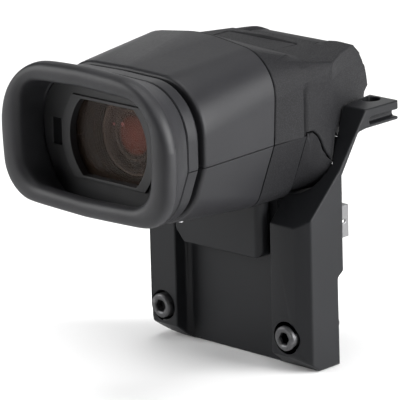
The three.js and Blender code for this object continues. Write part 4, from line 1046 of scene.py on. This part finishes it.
class VIEWFINDER_OT_optics(bpy.types.Operator):
    """Grinds the lenses, cuts the window and turns the stepped ring"""

    bl_idname = "viewfinder.optics"
    bl_label = "Optics"

    BEZEL_INSET, CUT_REACH, CURVE_STEPS = 0.0031, 0.01, 12
    # The retaining ring: its radii and ends, and the radius, place and size of its steps
    RING_OUTER, RING_INNER, RING_FRONT, RING_BACK = 0.0179, 0.0139, -0.0626, -0.0592
    STEP_RADIUS, STEP_PLACE, STEP_WIDTH, STEP_DEPTH, STEPS = 0.0155, -0.0616, 0.0004, 0.0006, 5
    # The first lens: the middle and the depth of its dish, then (radius, place) of its back
    DISH_MIDDLE, DISH_DEPTH = -0.0579, 0.0015
    LENS_BACK = ((0.0173, -0.0591), (0.0173, -0.0583), (0.0, -0.0572))
    # How much of their half thickness the faces of the other lenses bulge
    FRONT_SHARE, BACK_SHARE = 0.7, 0.6

    def execute(self, context):
        optics = context.scene.viewfinder.optics
        face, thick = optics.bezel_front, optics.bezel_thickness
        tall, wide = optics.sensor_half_height, optics.sensor_half_width
        outline = section(context.scene.viewfinder.head, 1, self.BEZEL_INSET)
        bezel = slab(outline, face, face + thick, 6)
        frame = window_block(
            optics, optics.frame_width, optics.frame_rise, face - optics.frame_proud, face + thick / 2,
        )
        bezel = carved(bezel, frame, "UNION")
        before, behind = face - self.CUT_REACH, face + self.CUT_REACH
        bezel = carved(bezel, window_block(optics, 0, 0, before, behind))
        bezel = carved(bezel, brick(
            (optics.sensor_x - wide, before, optics.axis_height - tall),
            (optics.sensor_x + wide, behind, optics.axis_height + tall),
        ))
        round_edges(bezel, sharp_edges(bezel, SHARP_DEGREES), FINE_EDGE)
        steady(add_piece(bezel, "eyepiece_bezel_skin", "plastic", ["eyepiece_bezel"], SMOOTH_DEGREES))
        axis = (0, 0, optics.axis_height)
        steps = [
            (self.STEP_RADIUS - self.STEP_WIDTH * i, self.STEP_PLACE + self.STEP_DEPTH * j)
            for i in range(self.STEPS) for j in (i - 1, i)
        ]
        rim = (self.RING_OUTER, self.RING_FRONT)
        ends = ((self.RING_INNER, self.RING_BACK), (self.RING_OUTER, self.RING_BACK), rim)
        shape = spun([rim, *steps, *ends], axis)
        add_piece(shape, "lens_retaining_ring_turned", "ring", ["lens_retaining_ring"], 20)
        radii = [self.RING_INNER * i / self.CURVE_STEPS for i in range(self.CURVE_STEPS + 1)]
        dish = [(r, self.DISH_MIDDLE - self.DISH_DEPTH * (r / self.RING_INNER) ** 2) for r in radii]
        shape = spun([*dish, *self.LENS_BACK], axis)
        # The first lens gets the finish with painted reflections and highlights.
        add_piece(shape, "lens_1_ground", "painted_reflection_lens", ["lens_1"], 30)
        for node in ("lens_2", "lens_3"):
            low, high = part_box(node)
            radius, middle, half = (high.x - low.x) / 2, (low.y + high.y) / 2, (high.y - low.y) / 2
            turns = [math.pi / 2 * i / self.CURVE_STEPS for i in range(self.CURVE_STEPS + 1)]
            front = [
                (radius * math.sin(a), half * (self.FRONT_SHARE * (1 - math.cos(a)) - 1))
                for a in turns
            ]
            back = [
                (radius * math.sin(a), half * (1 - self.BACK_SHARE * (1 - math.cos(a))))
                for a in reversed(turns)
            ]
            shape = spun(front + back, (0, middle, optics.axis_height), 64)
            add_piece(shape, f"{node}_ground", "glass", [node], 30)
        refined("lens_cell", "plastic", FINE_EDGE)
        refined("eyepiece_glass", "window_glass", FINE_EDGE)
        refined("eye_sensor_window", "gloss", 0.0003)
        return {"FINISHED"}


class VIEWFINDER_OT_mount_screws(bpy.types.Operator):
    """Turns the socket-head screws with their rounded rims and hexagon sockets"""

    bl_idname = "viewfinder.mount_screws"
    bl_label = "Mounting Screws"

    # The socket's depth and radius, and those of its chamfer
    SOCKET_DEPTH, SOCKET_RADIUS, CHAMFER_DEPTH, CHAMFER_RADIUS = 0.0028, 0.0023, 0.0004, 0.0027
    HEAD_HEIGHT, SHANK_RADIUS, TIP_RADIUS, TIP_BEVEL = 0.005, 0.0025, 0.002, 0.0005
    # Rims that are rounded: least bend, greatest depth, and a share of the head's bevel
    RIM_DEGREES, RIM_DEPTH, RIM_SHARE = 30, 0.001, 0.25
    # The socket's wall, found by depth and radius, is drawn into a hexagon this wide by half
    WALL_DEPTHS, WALL_RADII, HEX_HALF_WIDTH = (0.0003, 0.003), (0.0019, 0.00245), 0.002

    def execute(self, context):
        bevel = context.scene.viewfinder.bracket.screw_bevel
        for side in ("left", "right"):
            node = f"mount_screw_{side}"
            low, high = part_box(node)
            x, radius = (low.x + high.x) / 2, (high.x - low.x) / 2
            face, tip = low.y, high.y
            floor, under = face + self.SOCKET_DEPTH, face + self.HEAD_HEIGHT
            shape = spun([
                (0, floor), (self.SOCKET_RADIUS, floor),
                (self.SOCKET_RADIUS, face + self.CHAMFER_DEPTH), (self.CHAMFER_RADIUS, face),
                (radius - bevel, face), (radius, face + bevel), (radius, under),
                (self.SHANK_RADIUS, under), (self.SHANK_RADIUS, tip - self.TIP_BEVEL),
                (self.TIP_RADIUS, tip), (0, tip),
            ], (x, 0, 0), 48)
            rims = [
                edge for edge in sharp_edges(shape, self.RIM_DEGREES)
                if (edge.verts[0].co.y + edge.verts[1].co.y) / 2 < face + self.RIM_DEPTH
            ]
            round_edges(shape, rims, bevel * self.RIM_SHARE, 2)
            (shallow, deep), (inner, outer) = self.WALL_DEPTHS, self.WALL_RADII
            for vert in shape.verts:
                away = Vector((vert.co.x - x, vert.co.z))
                sunk = face + shallow < vert.co.y < face + deep
                if sunk and inner < away.length < outer:
                    turn = math.atan2(away.y, away.x) % (math.pi / 3) - math.pi / 6
                    away = away.normalized() * (self.HEX_HALF_WIDTH / math.cos(turn))
                    vert.co.x, vert.co.z = x + away.x, away.y
            add_piece(shape, f"{node}_turned", "black_steel", [node], 35)
        return {"FINISHED"}


class VIEWFINDER_OT_plug(bpy.types.Operator):
    """Rounds the plug's shell and its insert"""

    bl_idname = "viewfinder.plug"
    bl_label = "Plug"

    def execute(self, context):
        refined("plug_shell", "plug", 0.0004)
        refined("plug_insert", "plastic", FINE_EDGE)
        return {"FINISHED"}


class VIEWFINDER_OT_dial(bpy.types.Operator):
    """Rounds the ribs of the dioptre dial"""

    bl_idname = "viewfinder.dial"
    bl_label = "Dioptre Dial"

    def execute(self, context):
        refined("diopter_dial", "plastic", 0.00012, degrees=40, segments=1)
        return {"FINISHED"}


class VIEWFINDER_OT_inner_parts(bpy.types.Operator):
    """Gives every piece that stays a CAD node its finish"""

    bl_idname = "viewfinder.inner_parts"
    bl_label = "Inner Parts"

    FINISH_OF_SLOT = {
        "bracket_metal": "bracket", "grained_metal": "grained", "casing_metal": "casing",
        "cup_rubber": "rubber", "black_plastic": "plastic", "window_plastic": "gloss",
        "lens_glass": "glass", "black_steel": "black_steel", "bright_steel": "steel",
        "bronze": "bronze", "board": "laminate",
    }

    def execute(self, context):
        for node, thing in frame["nodes"].items():
            finish = finish_named(self.FINISH_OF_SLOT[SLOT_OF[node]])
            for slot in thing.material_slots:
                slot.material = finish
        return {"FINISHED"}


class VIEWFINDER_OT_stage(bpy.types.Operator):
    """Sets the floor, the soft lights and the camera"""

    bl_idname = "viewfinder.stage"
    bl_label = "Stage"

    FLOOR_SIZE, FLOOR_GAP = 6, 0.0002
    # Where the lights point, and each softbox with its size and place
    AIM = (0, -0.02, 0.045)
    LIGHTS = (
        ("right", 0.9, (1.15, 0.45, 0.4)),
        ("back", 1.0, (-0.75, 0.95, 0.45)),
        ("top", 0.9, (0.0, 0.1, 1.15)),
        ("left", 0.8, (-0.9, -0.75, 0.5)),
        ("front", 0.3, (0.8, -0.42, 0.85)),
    )
    SENSOR_WIDTH, CLIP_START, CLIP_END = 36, 0.05, 20

    def execute(self, context):
        studio = context.scene.viewfinder.studio
        ground = bmesh.new()
        bmesh.ops.create_grid(ground, x_segments=2, y_segments=2, size=self.FLOOR_SIZE)
        bmesh.ops.translate(ground, verts=ground.verts, vec=(0, 0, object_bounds()[0].z - self.FLOOR_GAP))
        mesh = bpy.data.meshes.new("studio_floor")
        ground.to_mesh(mesh)
        ground.free()
        floor = bpy.data.objects.new("studio_floor", mesh)
        mesh.materials.append(finish_named("floor"))
        context.scene.collection.objects.link(floor)
        floor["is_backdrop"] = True

        for name, size, place in self.LIGHTS:
            lamp = bpy.data.lights.new(f"{name}_light", "AREA")
            lamp.energy, lamp.size = getattr(studio, name), size
            thing = bpy.data.objects.new(f"{name}_light", lamp)
            thing.location = place
            towards = Vector(self.AIM) - Vector(place)
            thing.rotation_euler = towards.to_track_quat("-Z", "Y").to_euler()
            context.scene.collection.objects.link(thing)

        world = bpy.data.worlds.new("studio_light")
        world.use_nodes = True
        sky = world.node_tree.nodes["Background"]
        sky.inputs[0].default_value = (1, 1, 1, 1)
        sky.inputs[1].default_value = studio.sky
        context.scene.world = world
        context.scene.view_settings.view_transform = "Standard"

        lens = bpy.data.cameras.new("camera")
        lens.lens, lens.sensor_width = studio.lens, self.SENSOR_WIDTH
        lens.clip_start, lens.clip_end = self.CLIP_START, self.CLIP_END
        camera = bpy.data.objects.new("camera", lens)
        turn = Matrix.Rotation(studio.azimuth, 4, "Z")
        turn = turn @ Matrix.Rotation(math.pi / 2 - studio.elevation, 4, "X")
        turn = turn @ Matrix.Rotation(studio.roll, 4, "Z")
        camera.matrix_world = Matrix.Translation(studio.camera) @ turn
        context.scene.collection.objects.link(camera)
        context.scene.camera = camera
        return {"FINISHED"}


class VIEWFINDER_PT_pieces(bpy.types.Panel):
    """Lists the pieces and their sizes"""

    bl_idname = "VIEWFINDER_PT_pieces"
    bl_label = "Viewfinder"
    bl_space_type = "VIEW_3D"
    bl_region_type = "UI"
    bl_category = "Viewfinder"

    def draw(self, context):
        settings = context.scene.viewfinder
        for operator in OPERATORS:
            self.layout.operator(operator.bl_idname)
        for group in (settings.cup, settings.head, settings.optics, settings.bracket,
                      settings.colours, settings.studio):
            box = self.layout.box()
            for name in group.__annotations__:
                box.prop(group, name)


OPERATORS = (
    VIEWFINDER_OT_eyecup, VIEWFINDER_OT_casings, VIEWFINDER_OT_housings, VIEWFINDER_OT_bracket,
    VIEWFINDER_OT_optics, VIEWFINDER_OT_mount_screws, VIEWFINDER_OT_plug, VIEWFINDER_OT_dial,
    VIEWFINDER_OT_inner_parts, VIEWFINDER_OT_stage,
)
GROUPS = (
    CupSizes, HeadSizes, OpticSizes, BracketSizes, FinishColours, StudioSettings, ViewfinderSettings,
)


def register():
    """Registers the classes and the settings."""
    for item in (*GROUPS, *OPERATORS, VIEWFINDER_PT_pieces):
        bpy.utils.register_class(item)
    bpy.types.Scene.viewfinder = bpy.props.PointerProperty(type=ViewfinderSettings)


def unregister():
    """Takes the settings and the classes away again."""
    del bpy.types.Scene.viewfinder
    for item in reversed((*GROUPS, *OPERATORS, VIEWFINDER_PT_pieces)):
        bpy.utils.unregister_class(item)


def main():
    register()
    bpy.ops.viewfinder.eyecup()
    bpy.ops.viewfinder.casings()
    bpy.ops.viewfinder.housings()
    bpy.ops.viewfinder.bracket()
    bpy.ops.viewfinder.optics()
    bpy.ops.viewfinder.mount_screws()
    bpy.ops.viewfinder.plug()
    bpy.ops.viewfinder.dial()
    bpy.ops.viewfinder.inner_parts()
    bpy.ops.viewfinder.stage()


if __name__ == "__main__":
    main()
